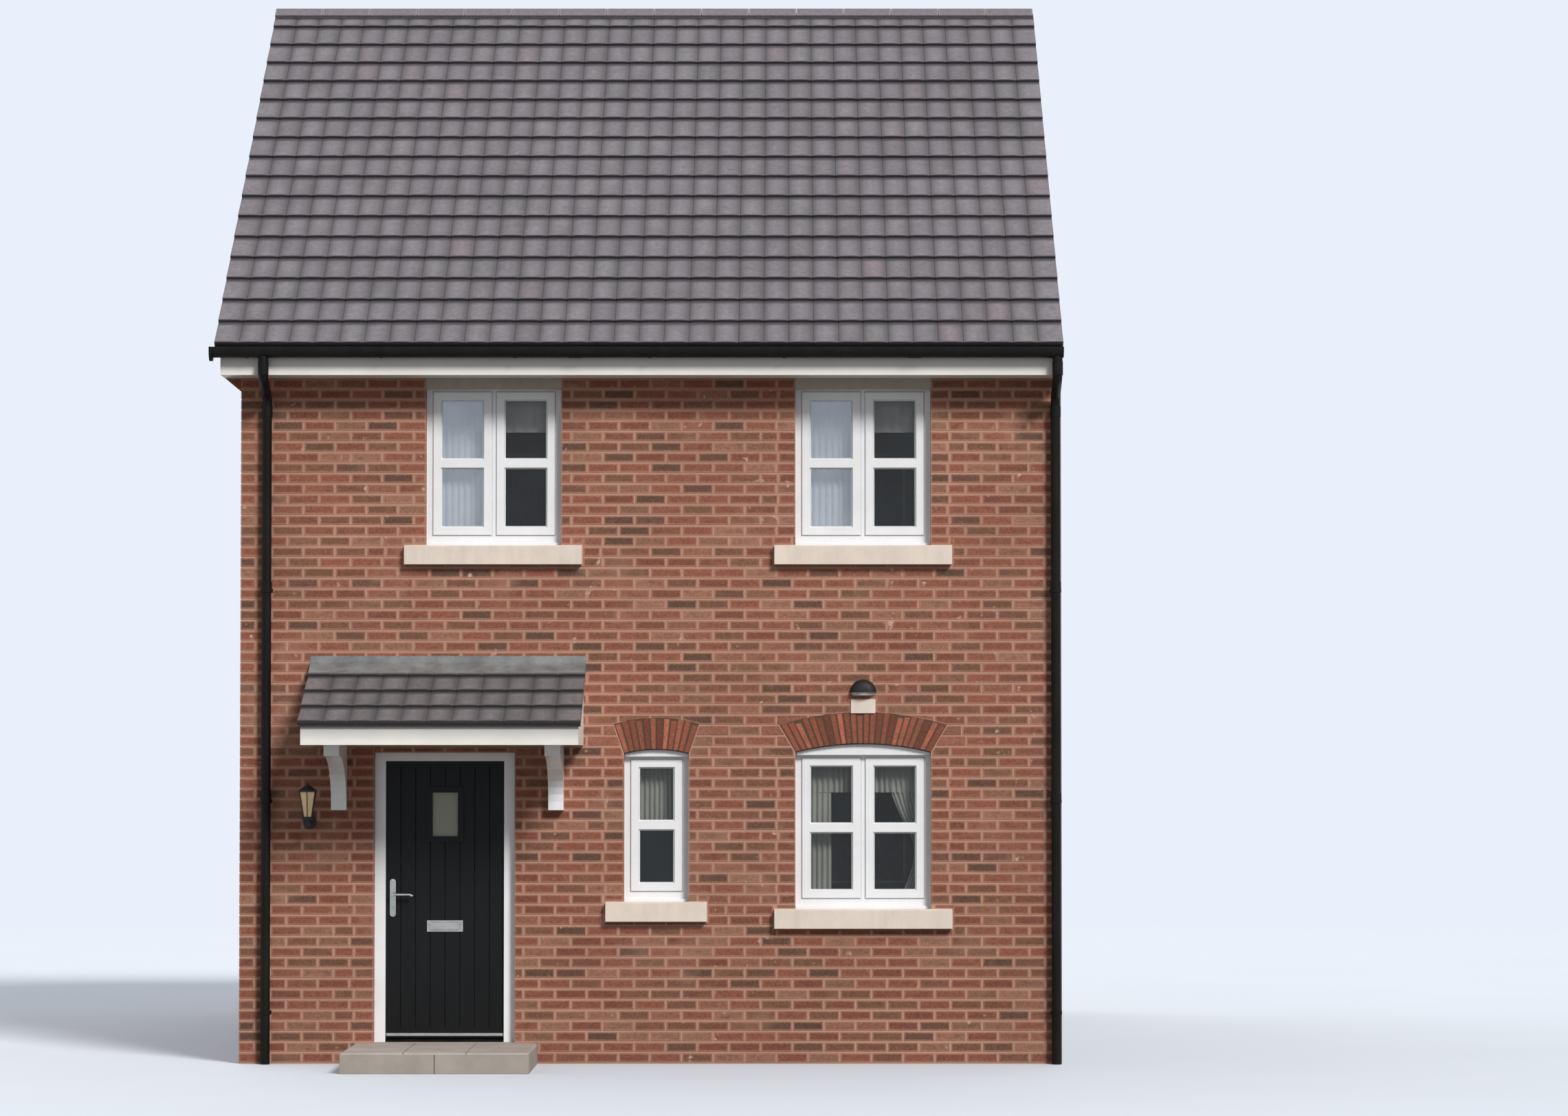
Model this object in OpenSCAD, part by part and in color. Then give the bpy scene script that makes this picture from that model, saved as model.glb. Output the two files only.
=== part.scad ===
// End house of a pair: brick walls, gable roof of interlocking tiles, tiled porch canopy.
// Millimetres. Origin at ground level under the middle of the plan, +Z up, front towards -Y.
// Places along the front are given from the outer corner at the gable end, looking at the front.

/* [House] */
// Width of the front, from the gable's outer face to the party line
house_w = 5850; // [5600:25:7200]
// Depth between the outer faces of the front and back walls
house_d = 7300; // [6200:50:9000]
// Thickness of the outer cavity walls
wall_t = 300; // [275:5:350]
// Depth of the brick outer leaf
brick_leaf = 102.5; // [100:0.5:110]
// Thickness of the party wall
party_t = 215; // [200:5:300]
// Height of the ground floor's top above the ground
ground_floor_z = 150; // [100:5:300]
// Height where the lower storey's walls end and the upper storey's begin
storey_joint_z = 2775; // [2700:25:2900]
// Height of the upper floor's top
upper_floor_z = 2800; // [2750:10:3000]
// Thickness of the upper floor
upper_floor_t = 250; // [200:5:300]
// Height of the underside of the upper ceiling
ceiling_z = 5100; // [5000:10:5200]
// Thickness of the upper ceiling with its joists
ceiling_t = 100; // [50:5:150]

/* [Roof] */
// Pitch of the roof in degrees
roof_pitch = 37; // [30:0.5:45]
// Height of the tiles' lower edge
tile_edge_z = 5115; // [5050:5:5250]
// Distance from the wall face to the fascia's front
eaves_out = 275; // [200:5:350]
// How far the tiles reach past the fascia into the gutter
tile_drip = 50; // [35:1:60]
// How far the tiles reach past the gable wall
verge_out = 158; // [140:1:250]
// Gable wall to the bargeboard's outer face
barge_out = 120; // [100:1:130]
// Thickness of the rafter and felt layer
deck_t = 120; // [80:5:180]
// Height of the battens and tiles at a tile's lower edge
tile_layer = 45; // [35:1:60]
// Step from one course of tiles down to the next
tile_step = 22; // [12:1:30]
// Distance from one course to the next, along the slope
tile_gauge = 295; // [250:5:345]
// Length of one ridge tile
ridge_len = 375; // [300:5:450]
// Width of one ridge tile's leg
ridge_leg = 118; // [90:1:150]

/* [Eaves] */
// Height of the soffit's underside
soffit_z = 4885; // [4850:5:4950]
// Thickness of the soffit boards
soffit_t = 12; // [9:1:20]
// Thickness of the fascia
fascia_t = 22; // [16:1:30]
// Thickness of the bargeboard
barge_t = 25; // [18:1:30]
// Depth of the bargeboard, square to the slope
barge_h = 220; // [180:5:260]
// Radius of the gutter's round bottom
gutter_r = 56; // [50:1:65]
// Thickness of the gutter's wall
gutter_wall = 3; // [2.5:0.5:5]
// Height of the gutter's straight upper sides
gutter_side = 18; // [5:1:30]
// Height of the gutter's lowest line
gutter_z = 5002; // [4990:1:5010]
// How far the gutter passes the gable wall
gutter_past = 190; // [160:5:250]
// Height of the corbelled brickwork under the eaves corner
corbel_h = 100; // [75:5:150]
// Length of that corbel along the gable
corbel_len = 215; // [102.5:2.5:330]

/* [Downpipes] */
// Radius of a downpipe
pipe_r = 34; // [30:1:40]
// Gap between a downpipe and the wall
pipe_gap = 28; // [15:1:40]
// Place of the corner downpipe
corner_pipe_x = 190; // [150:5:400]
// Height where a pipe reaches the wall below the eaves
pipe_bend_z = 4750; // [4600:5:4765]
// Spacing of the pipe clips
clip_spacing = 1500; // [1000:50:1800]

/* [Windows] */
// Width of the wide windows
win_w = 965; // [800:5:1100]
// Depth of a window frame's face behind the brick face
reveal = 75; // [60:1:100]
// Depth of a window frame from front to back
frame_depth = 70; // [60:1:80]
// Width of a frame's jambs
frame_side = 55; // [45:1:65]
// Height of a frame's head
frame_head = 28; // [22:1:45]
// Height of a frame's bottom rail
frame_foot = 83; // [45:1:95]
// Width of the mullion between two casements
mullion = 51; // [40:1:70]
// Width of a casement's rails and stiles inside its frame
casement_w = 46; // [36:1:60]
// Height of the glazing bar across a casement
bar_h = 57; // [20:1:65]
// How far a casement's face stands in front of its frame
casement_proud = 10; // [4:1:14]
// How far a casement laps over its frame's face
casement_lap = 6; // [3:0.5:10]
// Thickness of the glass units
glass_t = 24; // [20:1:28]
// Middle of the left upper window
upper_left_x = 1800; // [1500:5:2100]
// Distance from the party line to the middle of the right windows, upper and lower
right_inset = 1413; // [1300:1:1800]
// Height of the upper windows' frame bottom
upper_win_z = 3690; // [3600:5:3750]
// Height of an upper window frame
upper_win_h = 1120; // [900:5:1150]
// Height of the lower wide window's frame bottom
lower_win_z = 1098; // [950:1:1200]
// Height of the lower wide window frame, to its flat top
lower_win_h = 1095; // [900:1:1150]
// Middle of the narrow window
narrow_x = 2964; // [2750:1:3150]
// Width of the narrow window
narrow_w = 460; // [400:5:600]
// Height of the narrow window's frame bottom
narrow_z = 1148; // [1050:1:1250]
// Height of the narrow window frame, to its flat top
narrow_h = 1034; // [900:1:1100]

/* [Sills, heads and arches] */
// Height of a stone sill
sill_h = 138; // [100:1:150]
// How far a sill stands out of the wall
sill_out = 60; // [40:1:80]
// How far a sill runs past a wide window at each end
sill_horn = 150; // [100:5:200]
// How far the narrow window's sill runs past it at each end
narrow_horn = 130; // [90:5:150]
// Fall of the sill's front slope
sill_fall = 10; // [4:1:20]
// Height of the stone head over an upper window
head_h = 150; // [120:5:190]
// Height of the brick arches' voussoirs
arch_depth = 215; // [200:5:230]
// Rise of the wide arches
arch_rise = 59; // [40:1:90]
// Rise of the narrow arch
narrow_rise = 30; // [20:1:50]
// Height of the arched board at the arch's springing
arch_spring = 23; // [10:1:40]
// Number of voussoirs over a wide window
voussoirs = 24; // [12:2:28]
// Number of voussoirs over the narrow window
narrow_voussoirs = 12; // [6:1:16]
// Distance of the point that a wide arch's joints aim at, below its springing
fan_drop = 810; // [600:10:1600]
// The same distance for the narrow arch
narrow_fan_drop = 650; // [500:10:1200]
// Width of the joints between voussoirs
arch_joint = 9; // [6:1:12]
// How far the voussoirs and the stone heads stand out of the wall's mortar face
arch_proud = 3; // [2:0.5:8]
// Thickness of the arched boards
board_t = 60; // [20:5:65]

/* [Front door] */
// Middle of the door
door_x = 1455; // [1300:5:1600]
// Width of the doorway between the bricks
doorway_w = 1000; // [940:5:1060]
// Height of the doorway's top above the ground
doorway_z = 2210; // [2150:5:2220]
// Distance from the brick face to the door frame
door_reveal = 60; // [40:5:90]
// Depth of the door frame
door_frame_d = 70; // [65:1:90]
// Visible width of the door frame's jambs
door_jamb = 78; // [65:1:90]
// Width of the leaf hidden behind each stop
stop_lap = 13; // [10:1:15]
// Depth of the frame's stops
stop_depth = 22; // [18:1:25]
// Clear gap round the leaf
leaf_gap = 7; // [6:0.5:9]
// Clear gap between the leaf and the stops
stop_gap = 5; // [5:0.5:8]
// Thickness of the leaf
leaf_t = 44; // [40:1:50]
// Height of the threshold
threshold_h = 20; // [15:1:25]
// Number of boards shown on the leaf
leaf_boards = 8; // [5:1:10]
// Width of the grooves between the boards
groove_w = 7; // [4:0.5:12]
// Depth of those grooves
groove_depth = 3.5; // [2:0.5:6]
// Distance of the grooves' ends from the leaf's top
groove_top = 55; // [30:5:90]
// Distance of the grooves' ends from the leaf's bottom
groove_foot = 75; // [50:5:120]
// Width of the door light
light_w = 181; // [150:1:220]
// Height of the door light
light_h = 312; // [250:1:360]
// Height of the door light's bottom above the ground
light_z = 1614; // [1500:1:1700]
// Width of the moulded surround on the light's sides
surround_w = 41; // [30:1:50]
// Height of the weather bar's bottom above the leaf's bottom
weather_bar_z = 16; // [8:1:40]
// Height of the weather bar
weather_bar_h = 20; // [15:1:40]

/* [Door furniture] */
// Width of the letter plate
letter_w = 256; // [230:1:300]
// Height of the letter plate
letter_h = 80; // [60:1:95]
// Height of the letter plate's middle above the ground
letter_z = 974; // [900:1:1100]
// Width of the letter plate's flap
flap_w = 206; // [180:1:210]
// Height of the letter plate's flap
flap_h = 44; // [36:1:50]
// Height of the letter slot in the leaf
slot_h = 34; // [30:1:38]
// Width of the handle's backplate
plate_w = 42; // [32:1:50]
// Height of the handle's backplate
plate_h = 270; // [200:5:290]
// Thickness of the handle's backplate
plate_t = 9; // [6:1:12]
// Height of the backplate's middle above the ground
plate_z = 1175; // [1100:1:1250]
// Distance from the leaf's edge to the handle's spindle
backset = 63; // [50:1:75]
// Height of the spindle above the ground
lever_z = 1199; // [1150:1:1250]
// Length of the lever from the spindle
lever_len = 145; // [110:1:160]
// Radius of the lever's round bar
lever_r = 10; // [8:0.5:12]
// How far the lever stands off the leaf
lever_off = 52; // [45:1:65]
// Radius of the spindle
spindle_r = 8; // [6:0.5:9]
// Radius of the hinge pins
pin_r = 5; // [4:0.5:6]
// Radius of the hinge knuckles
knuckle_r = 8; // [7:0.5:9]
// Length of a hinge
hinge_len = 100; // [75:1:130]

/* [Step] */
// Middle of the step
step_x = 1470; // [1350:5:1550]
// Width of the step
step_w = 1300; // [1100:10:1500]
// How far the step stands out of the wall
step_out = 1120; // [600:10:1300]
// Height of the step
step_h = 145; // [100:5:150]
// Rounding of the step's front edges
step_edge = 12; // [4:1:20]

/* [Canopy] */
// Middle of the canopy
canopy_x = 1480; // [1450:5:1520]
// Width of the canopy's body
canopy_w = 1930; // [1800:10:2000]
// How far the canopy's tiles stand out of the wall
canopy_out = 900; // [700:10:1100]
// How far the canopy's tiles pass its fascia
canopy_drip = 38; // [20:1:60]
// How far the canopy's tiles pass its side boards
canopy_side = 17; // [5:1:30]
// Pitch of the canopy in degrees
canopy_pitch = 25; // [17.5:0.5:30]
// Distance from one course of the canopy's tiles to the next, along the slope
canopy_gauge = 265; // [200:5:345]
// Height of the lower edge of the canopy's tiles
canopy_edge_z = 2430; // [2420:1:2450]
// Height of the canopy's underside
canopy_foot_z = 2262; // [2240:1:2290]
// Thickness of the canopy's boards
canopy_board = 22; // [15:1:30]
// Height of the flashing's top
flashing_z = 2899; // [2885:1:2950]
// How far the flashing covers the canopy's tiles
flashing_lap = 160; // [80:5:200]
// Thickness of the flashing
flashing_t = 5; // [3:0.5:8]
// Distance between the middles of the two brackets
bracket_span = 1544; // [1400:2:1600]
// Width of a bracket
bracket_w = 108; // [80:2:130]
// How far a bracket stands out of the wall
bracket_out = 620; // [400:10:700]
// Height of a bracket
bracket_h = 460; // [380:5:520]
// Width of the bracket's post and rail
bracket_bar = 75; // [60:1:90]

/* [Wall fittings] */
// Middle of the lantern
lantern_x = 497; // [400:1:550]
// Height of the lantern's lowest point
lantern_z = 1672; // [1550:1:1750]
// Distance of the lantern's axis from the wall
lantern_out = 150; // [110:5:180]
// Radius of the lantern's glass at the top
lantern_r = 60; // [50:1:70]
// Radius of the lantern's glass at the bottom
lantern_foot_r = 29; // [20:1:40]
// Height of the lantern's glass
lantern_h = 175; // [140:5:200]
// Height of the middle of the hooded wall light
wall_light_z = 2672; // [2660:1:2720]
// Width of the hooded wall light
wall_light_w = 190; // [150:5:240]
// How far the hooded wall light stands out of the wall
wall_light_d = 76; // [50:1:100]
// Width of the stone block over the wide front arch
block_w = 174; // [140:2:200]
// Height of that block
block_h = 100; // [75:5:110]
// How far that block stands out of the wall
block_out = 12; // [4:1:20]

/* [Curtains] */
// Thickness of the space that a curtain takes
curtain_t = 36; // [20:1:45]
// Gap between a window's frame and its curtain
curtain_gap = 25; // [15:1:35]

/* [Hidden] */
$fn = 48;
// Sides of pipes and other small round pieces
round_sides = 12;

brick = [0.55, 0.27, 0.20];
concrete = [0.66, 0.64, 0.61];
block_grey = [0.60, 0.59, 0.57];
timber = [0.72, 0.58, 0.40];
tile = [0.34, 0.32, 0.33];
white = [0.93, 0.93, 0.91];
black = [0.07, 0.07, 0.08];
stone = [0.84, 0.78, 0.69];
pane = [0.55, 0.65, 0.70, 0.5];
cloth = [0.85, 0.86, 0.86];
anthracite = [0.12, 0.13, 0.14];
silver = [0.70, 0.71, 0.73];
lead = [0.42, 0.44, 0.46];
amber = [0.95, 0.75, 0.45, 0.6];

// Small overlap that makes a cutting shape pass a face
cut = 1;
// Hairline between sloping faces that meet, so that rounded figures never make them cross
seat = 0.02;
front_y = -house_d / 2;
left_x = -house_w / 2;
right_end_x = house_w / 2;
inner_left_x = left_x + wall_t;
inner_right_x = right_end_x - party_t;
inner_y = front_y + wall_t;

// Place along the front turned into this frame's x
function at(x) = left_x + x;
right_x = house_w - right_inset;

// Roof planes: heights at a distance d from the ridge line, in plan
tile_half = house_d / 2 + eaves_out + tile_drip;
function tile_plane_z(d) = tile_edge_z + (tile_half - d) * tan(roof_pitch);
function deck_top_z(d) = tile_plane_z(d) - tile_layer / cos(roof_pitch) - seat;
function deck_under_z(d) = deck_top_z(d) - deck_t / cos(roof_pitch);
function wall_top_z(d) = deck_under_z(d) - seat;
fascia_half = house_d / 2 + eaves_out;
deck_half = fascia_half - fascia_t;
verge_x = left_x - verge_out;
barge_x = left_x - barge_out;
deck_x = barge_x + barge_t;
gutter_half = fascia_half + gutter_r + 3;
gutter_mid_z = gutter_z + gutter_r;

// Windows: [middle x, bottom z, width, height, casements, sill horn, arch rise,
// voussoirs, distance of the fan's point below the springing]
upper_left = [at(upper_left_x), upper_win_z, win_w, upper_win_h, 2, sill_horn, 0, 0, 0];
upper_right = [at(right_x), upper_win_z, win_w, upper_win_h, 2, sill_horn, 0, 0, 0];
lower_right = [at(right_x), lower_win_z, win_w, lower_win_h, 2, sill_horn,
               arch_rise, voussoirs, fan_drop];
lower_left = [at(upper_left_x), lower_win_z, win_w, lower_win_h, 2, sill_horn,
              arch_rise, voussoirs, fan_drop];
narrow = [at(narrow_x), narrow_z, narrow_w, narrow_h, 1, narrow_horn,
          narrow_rise, narrow_voussoirs, narrow_fan_drop];
upper_windows = [upper_left, upper_right];
lower_front = [narrow, lower_right];
lower_back = [lower_left, lower_right];

function mid_x(w) = w[0];
function foot_z(w) = w[1];
function wide(w) = w[2];
function tall(w) = w[3];
function leaves(w) = w[4];
function horn(w) = w[5];
function rise(w) = w[6];
function bricks(w) = w[7];
function fan(w) = w[8];
function top_z(w) = foot_z(w) + tall(w);
function spring_z(w) = top_z(w) + arch_spring;

// Points of a fanned arch. Its underside is an arc through the springing and the crown, and
// its joints aim at one point below the springing. a is the joint's angle from the upright.
function arc_r(w) = (pow(wide(w) / 2, 2) + pow(rise(w), 2)) / (2 * rise(w));
function fan_angle(w) = atan(wide(w) / 2 / fan(w));
function ray_len(w, a) =
    let (gap = arc_r(w) - rise(w) - fan(w))
    -gap * cos(a) + sqrt(pow(arc_r(w), 2) - pow(gap * sin(a), 2));
function fan_point(w, a, up) =
    [mid_x(w) + (ray_len(w, a) + up) * sin(a),
     spring_z(w) - fan(w) + (ray_len(w, a) + up) * cos(a)];
function joint_angle(w, i) = fan_angle(w) * (2 * i / bricks(w) - 1);
function arch_edge(w, up) =
    [for (i = [0 : bricks(w)]) fan_point(w, joint_angle(w, i), up)];
function reversed(list) = [for (i = [len(list) - 1 : -1 : 0]) list[i]];
function ring_outline(w, up) = concat(arch_edge(w, 0), reversed(arch_edge(w, up)));
function toward(p, q, by) = p + (q - p) * by / norm(q - p);

// Front door, across the leaf and up it
door_mid_x = at(door_x);
leaf_w = doorway_w - 2 * door_jamb + 2 * stop_lap;
leaf_left_x = door_mid_x - leaf_w / 2;
leaf_right_x = door_mid_x + leaf_w / 2;
frame_front_y = front_y + door_reveal;
leaf_front_y = frame_front_y + stop_depth + stop_gap;
leaf_back_y = leaf_front_y + leaf_t;
leaf_foot_z = ground_floor_z + threshold_h + leaf_gap - 1;
sight_top_z = doorway_z - 60;
leaf_top_z = sight_top_z + stop_lap;
hinge_x = leaf_right_x + 2;
hinge_y = leaf_back_y + knuckle_r + 1;
spindle_x = leaf_left_x + backset;
hinge_heights = [leaf_foot_z + 230, (leaf_foot_z + leaf_top_z) / 2, leaf_top_z - 230];
knuckle_gap = 2;
// Clearance round a pin or a spindle that turns
run_fit = 0.1;
slot_w = flap_w - 12;
flap_axis_z = letter_z + flap_h / 2;
flap_axis_y = leaf_front_y - 15;
flap_pin_r = 2;
lug_w = 8;

// Canopy
canopy_mid_x = at(canopy_x);
function canopy_plane_z(d) = canopy_edge_z + (canopy_out - d) * tan(canopy_pitch);
function canopy_deck_z(d) = canopy_plane_z(d) - tile_layer / cos(canopy_pitch) - seat;
canopy_front = canopy_out - canopy_drip;

module block(x, y, z) {
    translate([x[0], y[0], z[0]]) cube([x[1] - x[0], y[1] - y[0], z[1] - z[0]]);
}

// Profile in the YZ plane, drawn out along X
module along_x(x, outline) {
    translate([x[0], 0, 0]) rotate([90, 0, 90]) linear_extrude(x[1] - x[0]) polygon(outline);
}

// Profile in the XZ plane, drawn out along Y
module along_y(y, outline) {
    translate([0, y[1], 0]) rotate([90, 0, 0]) linear_extrude(y[1] - y[0]) polygon(outline);
}

// The same piece on the front and, mirrored, on the back
module front_and_back() {
    children();
    mirror([0, 1, 0]) children();
}

module rod(a, b, r) {
    d = b - a;
    translate(a) rotate([0, acos(d[2] / norm(d)), atan2(d[1], d[0])])
        cylinder(h = norm(d), r = r, $fn = round_sides);
}

// Drum across a bend, its axis along X
module bend(p, r) {
    rod(p - [r * 0.8, 0, 0], p + [r * 0.8, 0, 0], r);
}

// Space that a window takes out of its wall: the opening up to its head or arch,
// the sill's bed, and the bed of the stone head or of the voussoirs
module window_space(w) {
    x = [mid_x(w) - wide(w) / 2, mid_x(w) + wide(w) / 2];
    deep = [front_y - cut, inner_y + cut];
    leaf = [front_y - cut, front_y + brick_leaf];
    if (rise(w) > 0) {
        along_y(deep, concat([[x[1], foot_z(w)], [x[0], foot_z(w)]], arch_edge(w, 0)));
        along_y(leaf, ring_outline(w, arch_depth));
    } else {
        block(x, deep, [foot_z(w), top_z(w)]);
        block(x, leaf, [foot_z(w), top_z(w) + head_h]);
    }
    block([x[0] - horn(w), x[1] + horn(w)], [front_y - cut, front_y + reveal + frame_depth],
          [foot_z(w) - sill_h, foot_z(w)]);
}

// Outer wall of one storey between two places, its top following the roof where it is the upper one
module lower_wall(x) {
    block(x, [front_y, inner_y], [0, storey_joint_z]);
}

module upper_wall() {
    along_x([inner_left_x, inner_right_x],
            [[front_y, storey_joint_z], [inner_y, storey_joint_z],
             [inner_y, wall_top_z(-inner_y)], [front_y, wall_top_z(-front_y)]]);
}

module gable_shape(x) {
    along_x(x, [[front_y, 0], [-front_y, 0], [-front_y, wall_top_z(-front_y)],
                [0, wall_top_z(0)], [front_y, wall_top_z(-front_y)]]);
}

module ground_floor() {
    color(concrete) {
        block([inner_left_x, inner_right_x], [inner_y, -inner_y], [0, ground_floor_z]);
        block([door_mid_x - doorway_w / 2, door_mid_x + doorway_w / 2],
              [front_y, inner_y + cut], [0, ground_floor_z]);
    }
}

module first_floor() {
    color(timber) block([inner_left_x, inner_right_x], [inner_y, -inner_y],
                        [upper_floor_z - upper_floor_t, upper_floor_z]);
}

module upper_ceiling() {
    color(white) block([inner_left_x, inner_right_x], [inner_y, -inner_y],
                       [ceiling_z, ceiling_z + ceiling_t]);
}

module gable_wall() {
    color(brick) gable_shape([left_x, inner_left_x]);
}

module party_wall() {
    color(block_grey) gable_shape([inner_right_x, right_end_x]);
}

module front_wall_left() {
    color(brick) lower_wall([inner_left_x, door_mid_x - doorway_w / 2]);
}

module front_wall_over_door() {
    color(brick) block([door_mid_x - doorway_w / 2, door_mid_x + doorway_w / 2],
                       [front_y, inner_y], [doorway_z, storey_joint_z]);
}

module front_wall_right() {
    color(brick) difference() {
        lower_wall([door_mid_x + doorway_w / 2, inner_right_x]);
        for (w = lower_front) window_space(w);
        arch_block_shape(cut);
    }
}

module front_wall_upper() {
    color(brick) difference() {
        upper_wall();
        for (w = upper_windows) window_space(w);
    }
}

module back_wall_lower() {
    color(brick) mirror([0, 1, 0]) difference() {
        lower_wall([inner_left_x, inner_right_x]);
        for (w = lower_back) window_space(w);
    }
}

module back_wall_upper() {
    color(brick) mirror([0, 1, 0]) difference() {
        upper_wall();
        for (w = upper_windows) window_space(w);
    }
}

module roof_deck_half() {
    along_x([deck_x, right_end_x],
            [[-deck_half, deck_under_z(deck_half)], [0, deck_under_z(0)],
             [0, deck_top_z(0)], [-deck_half, deck_top_z(deck_half)]]);
}

module front_roof_deck() {
    color(timber) roof_deck_half();
}

module back_roof_deck() {
    color(timber) mirror([0, 1, 0]) roof_deck_half();
}

// Stepped courses of tiles on a slope. The slope rises towards +Y from the lower edge of its
// first course's top, at out and z, and is cut off at the upright plane y_end.
module tile_courses(x, out, z, pitch, gauge, y_end) {
    foot = [-out + tile_layer * sin(pitch), z - tile_layer * cos(pitch)];
    along = [cos(pitch), sin(pitch)];
    up = [-sin(pitch), cos(pitch)];
    courses = ceil((y_end - foot[0]) / cos(pitch) / gauge) + 1;
    steps = [for (i = [0 : courses - 1], top = [tile_layer, tile_layer - tile_step])
             let (s = (top == tile_layer) ? i : i + 1)
             foot + s * gauge * along + top * up];
    difference() {
        along_x(x, concat([foot], steps, [foot + courses * gauge * along]));
        block([x[0] - cut, x[1] + cut], [y_end, y_end + 3 * gauge],
              [z, z + 2 * (y_end + out + 3 * gauge)]);
    }
}

module roof_tiles_half() {
    tile_courses([verge_x, right_end_x], tile_half, tile_edge_z, roof_pitch, tile_gauge, 0);
}

module front_roof_tiles() {
    color(tile) roof_tiles_half();
}

module back_roof_tiles() {
    color(tile) mirror([0, 1, 0]) roof_tiles_half();
}

// Ridge tiles are angled, with a rounded crown, and lie on the top courses of both slopes
module ridge_tiles() {
    ridge_t = 18;
    crown_r = 34;
    joint = 6;
    apex_z = tile_plane_z(0);
    leg = [cos(roof_pitch), -sin(roof_pitch)] * ridge_leg;
    up = [sin(roof_pitch), cos(roof_pitch)] * ridge_t;
    crown_z = apex_z + ridge_t / cos(roof_pitch) - crown_r / cos(roof_pitch);
    crown = [for (a = [90 + roof_pitch : -roof_pitch / 4 : 90 - roof_pitch])
             [crown_r * cos(a), crown_z + crown_r * sin(a)]];
    outline = concat([[0, apex_z], [-leg[0], apex_z + leg[1]],
                      [-leg[0] - up[0], apex_z + leg[1] + up[1]]],
                     crown,
                     [[leg[0] + up[0], apex_z + leg[1] + up[1]], [leg[0], apex_z + leg[1]]]);
    count = round((right_end_x - verge_x) / ridge_len);
    pitch_x = (right_end_x - verge_x) / count;
    color(tile) for (i = [0 : count - 1])
        along_x([verge_x + i * pitch_x, verge_x + (i + 1) * pitch_x - joint], outline);
}

// Bargeboards along both slopes of the gable, with a foot that closes the end of the eaves
module bargeboards() {
    lower = (tile_layer + barge_h) / cos(roof_pitch);
    half = [[-deck_half, soffit_z], [front_y, soffit_z],
            [front_y, tile_plane_z(-front_y) - lower]];
    top = [[0, deck_top_z(0)], [-deck_half, deck_top_z(deck_half)]];
    color(white) along_x([barge_x, barge_x + barge_t],
        concat(half, [[0, tile_plane_z(0) - lower]],
               reversed([for (p = half) [-p[0], p[1]]]),
               [[deck_half, deck_top_z(deck_half)]], top));
}

// Boards under the overhanging verge, between the gable wall and the bargeboards
module verge_soffit() {
    color(white) along_x([deck_x, left_x],
        [[front_y, wall_top_z(-front_y)], [0, wall_top_z(0)],
         [-front_y, wall_top_z(-front_y)], [-front_y, wall_top_z(-front_y) - soffit_t],
         [0, wall_top_z(0) - soffit_t], [front_y, wall_top_z(-front_y) - soffit_t]]);
}

module fascias() {
    color(white) front_and_back()
        block([barge_x, right_end_x], [-fascia_half, -deck_half],
              [soffit_z, deck_top_z(fascia_half)]);
}

module eaves_soffits() {
    color(white) front_and_back()
        block([deck_x, right_end_x], [-deck_half, front_y], [soffit_z, soffit_z + soffit_t]);
}

// Half-round outline with straight upper sides
module gutter_outline(r, lift) {
    sides = 14;
    translate([-gutter_half, gutter_mid_z])
        polygon(concat([[-r, gutter_side + lift]],
                       [for (i = [0 : sides]) [-r * cos(180 * i / sides), -r * sin(180 * i / sides)]],
                       [[r, gutter_side + lift]]));
}

// Open gutter with stop ends, union clips and brackets on the fascia
module gutter(outlets) {
    x = [left_x - gutter_past, right_end_x];
    end_t = 8;
    bracket_w = 26;
    spacing = 950;
    count = floor((x[1] - left_x) / spacing);
    difference() {
        union() {
            translate([x[0], 0, 0]) rotate([90, 0, 90]) linear_extrude(x[1] - x[0])
                gutter_outline(gutter_r, 0);
            for (i = [0 : count])
                translate([left_x + 60 + i * spacing, 0, 0]) {
                    rotate([90, 0, 90]) linear_extrude(bracket_w)
                        gutter_outline(gutter_r + 3, -8);
                    block([0, bracket_w], [-gutter_half, -fascia_half],
                          [gutter_mid_z - 20, gutter_mid_z + 10]);
                }
            translate([x[0], 0, 0]) rotate([90, 0, 90]) linear_extrude(3 * end_t)
                gutter_outline(gutter_r + 4, 0);
            for (at_x = outlets) translate([at_x, -gutter_half, gutter_z - outlet_drop])
                cylinder(h = outlet_drop + gutter_wall, r = pipe_r + 3, $fn = round_sides);
        }
        translate([x[0] + end_t, 0, 0]) rotate([90, 0, 90])
            linear_extrude(x[1] - x[0] - 2 * end_t) gutter_outline(gutter_r - gutter_wall, cut);
        for (at_x = outlets)
            translate([at_x, -gutter_half, gutter_z - outlet_drop - cut])
                cylinder(h = outlet_drop + 4 * gutter_wall, r = pipe_r - 6, $fn = round_sides);
    }
}

module gutters() {
    color(black) {
        gutter([at(corner_pipe_x), party_pipe_x]);
        mirror([0, 1, 0]) gutter([at(corner_pipe_x)]);
    }
}

party_pipe_x = right_end_x - pipe_r - 8;
pipe_y = front_y - pipe_gap - pipe_r;
outlet_drop = 24;

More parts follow.
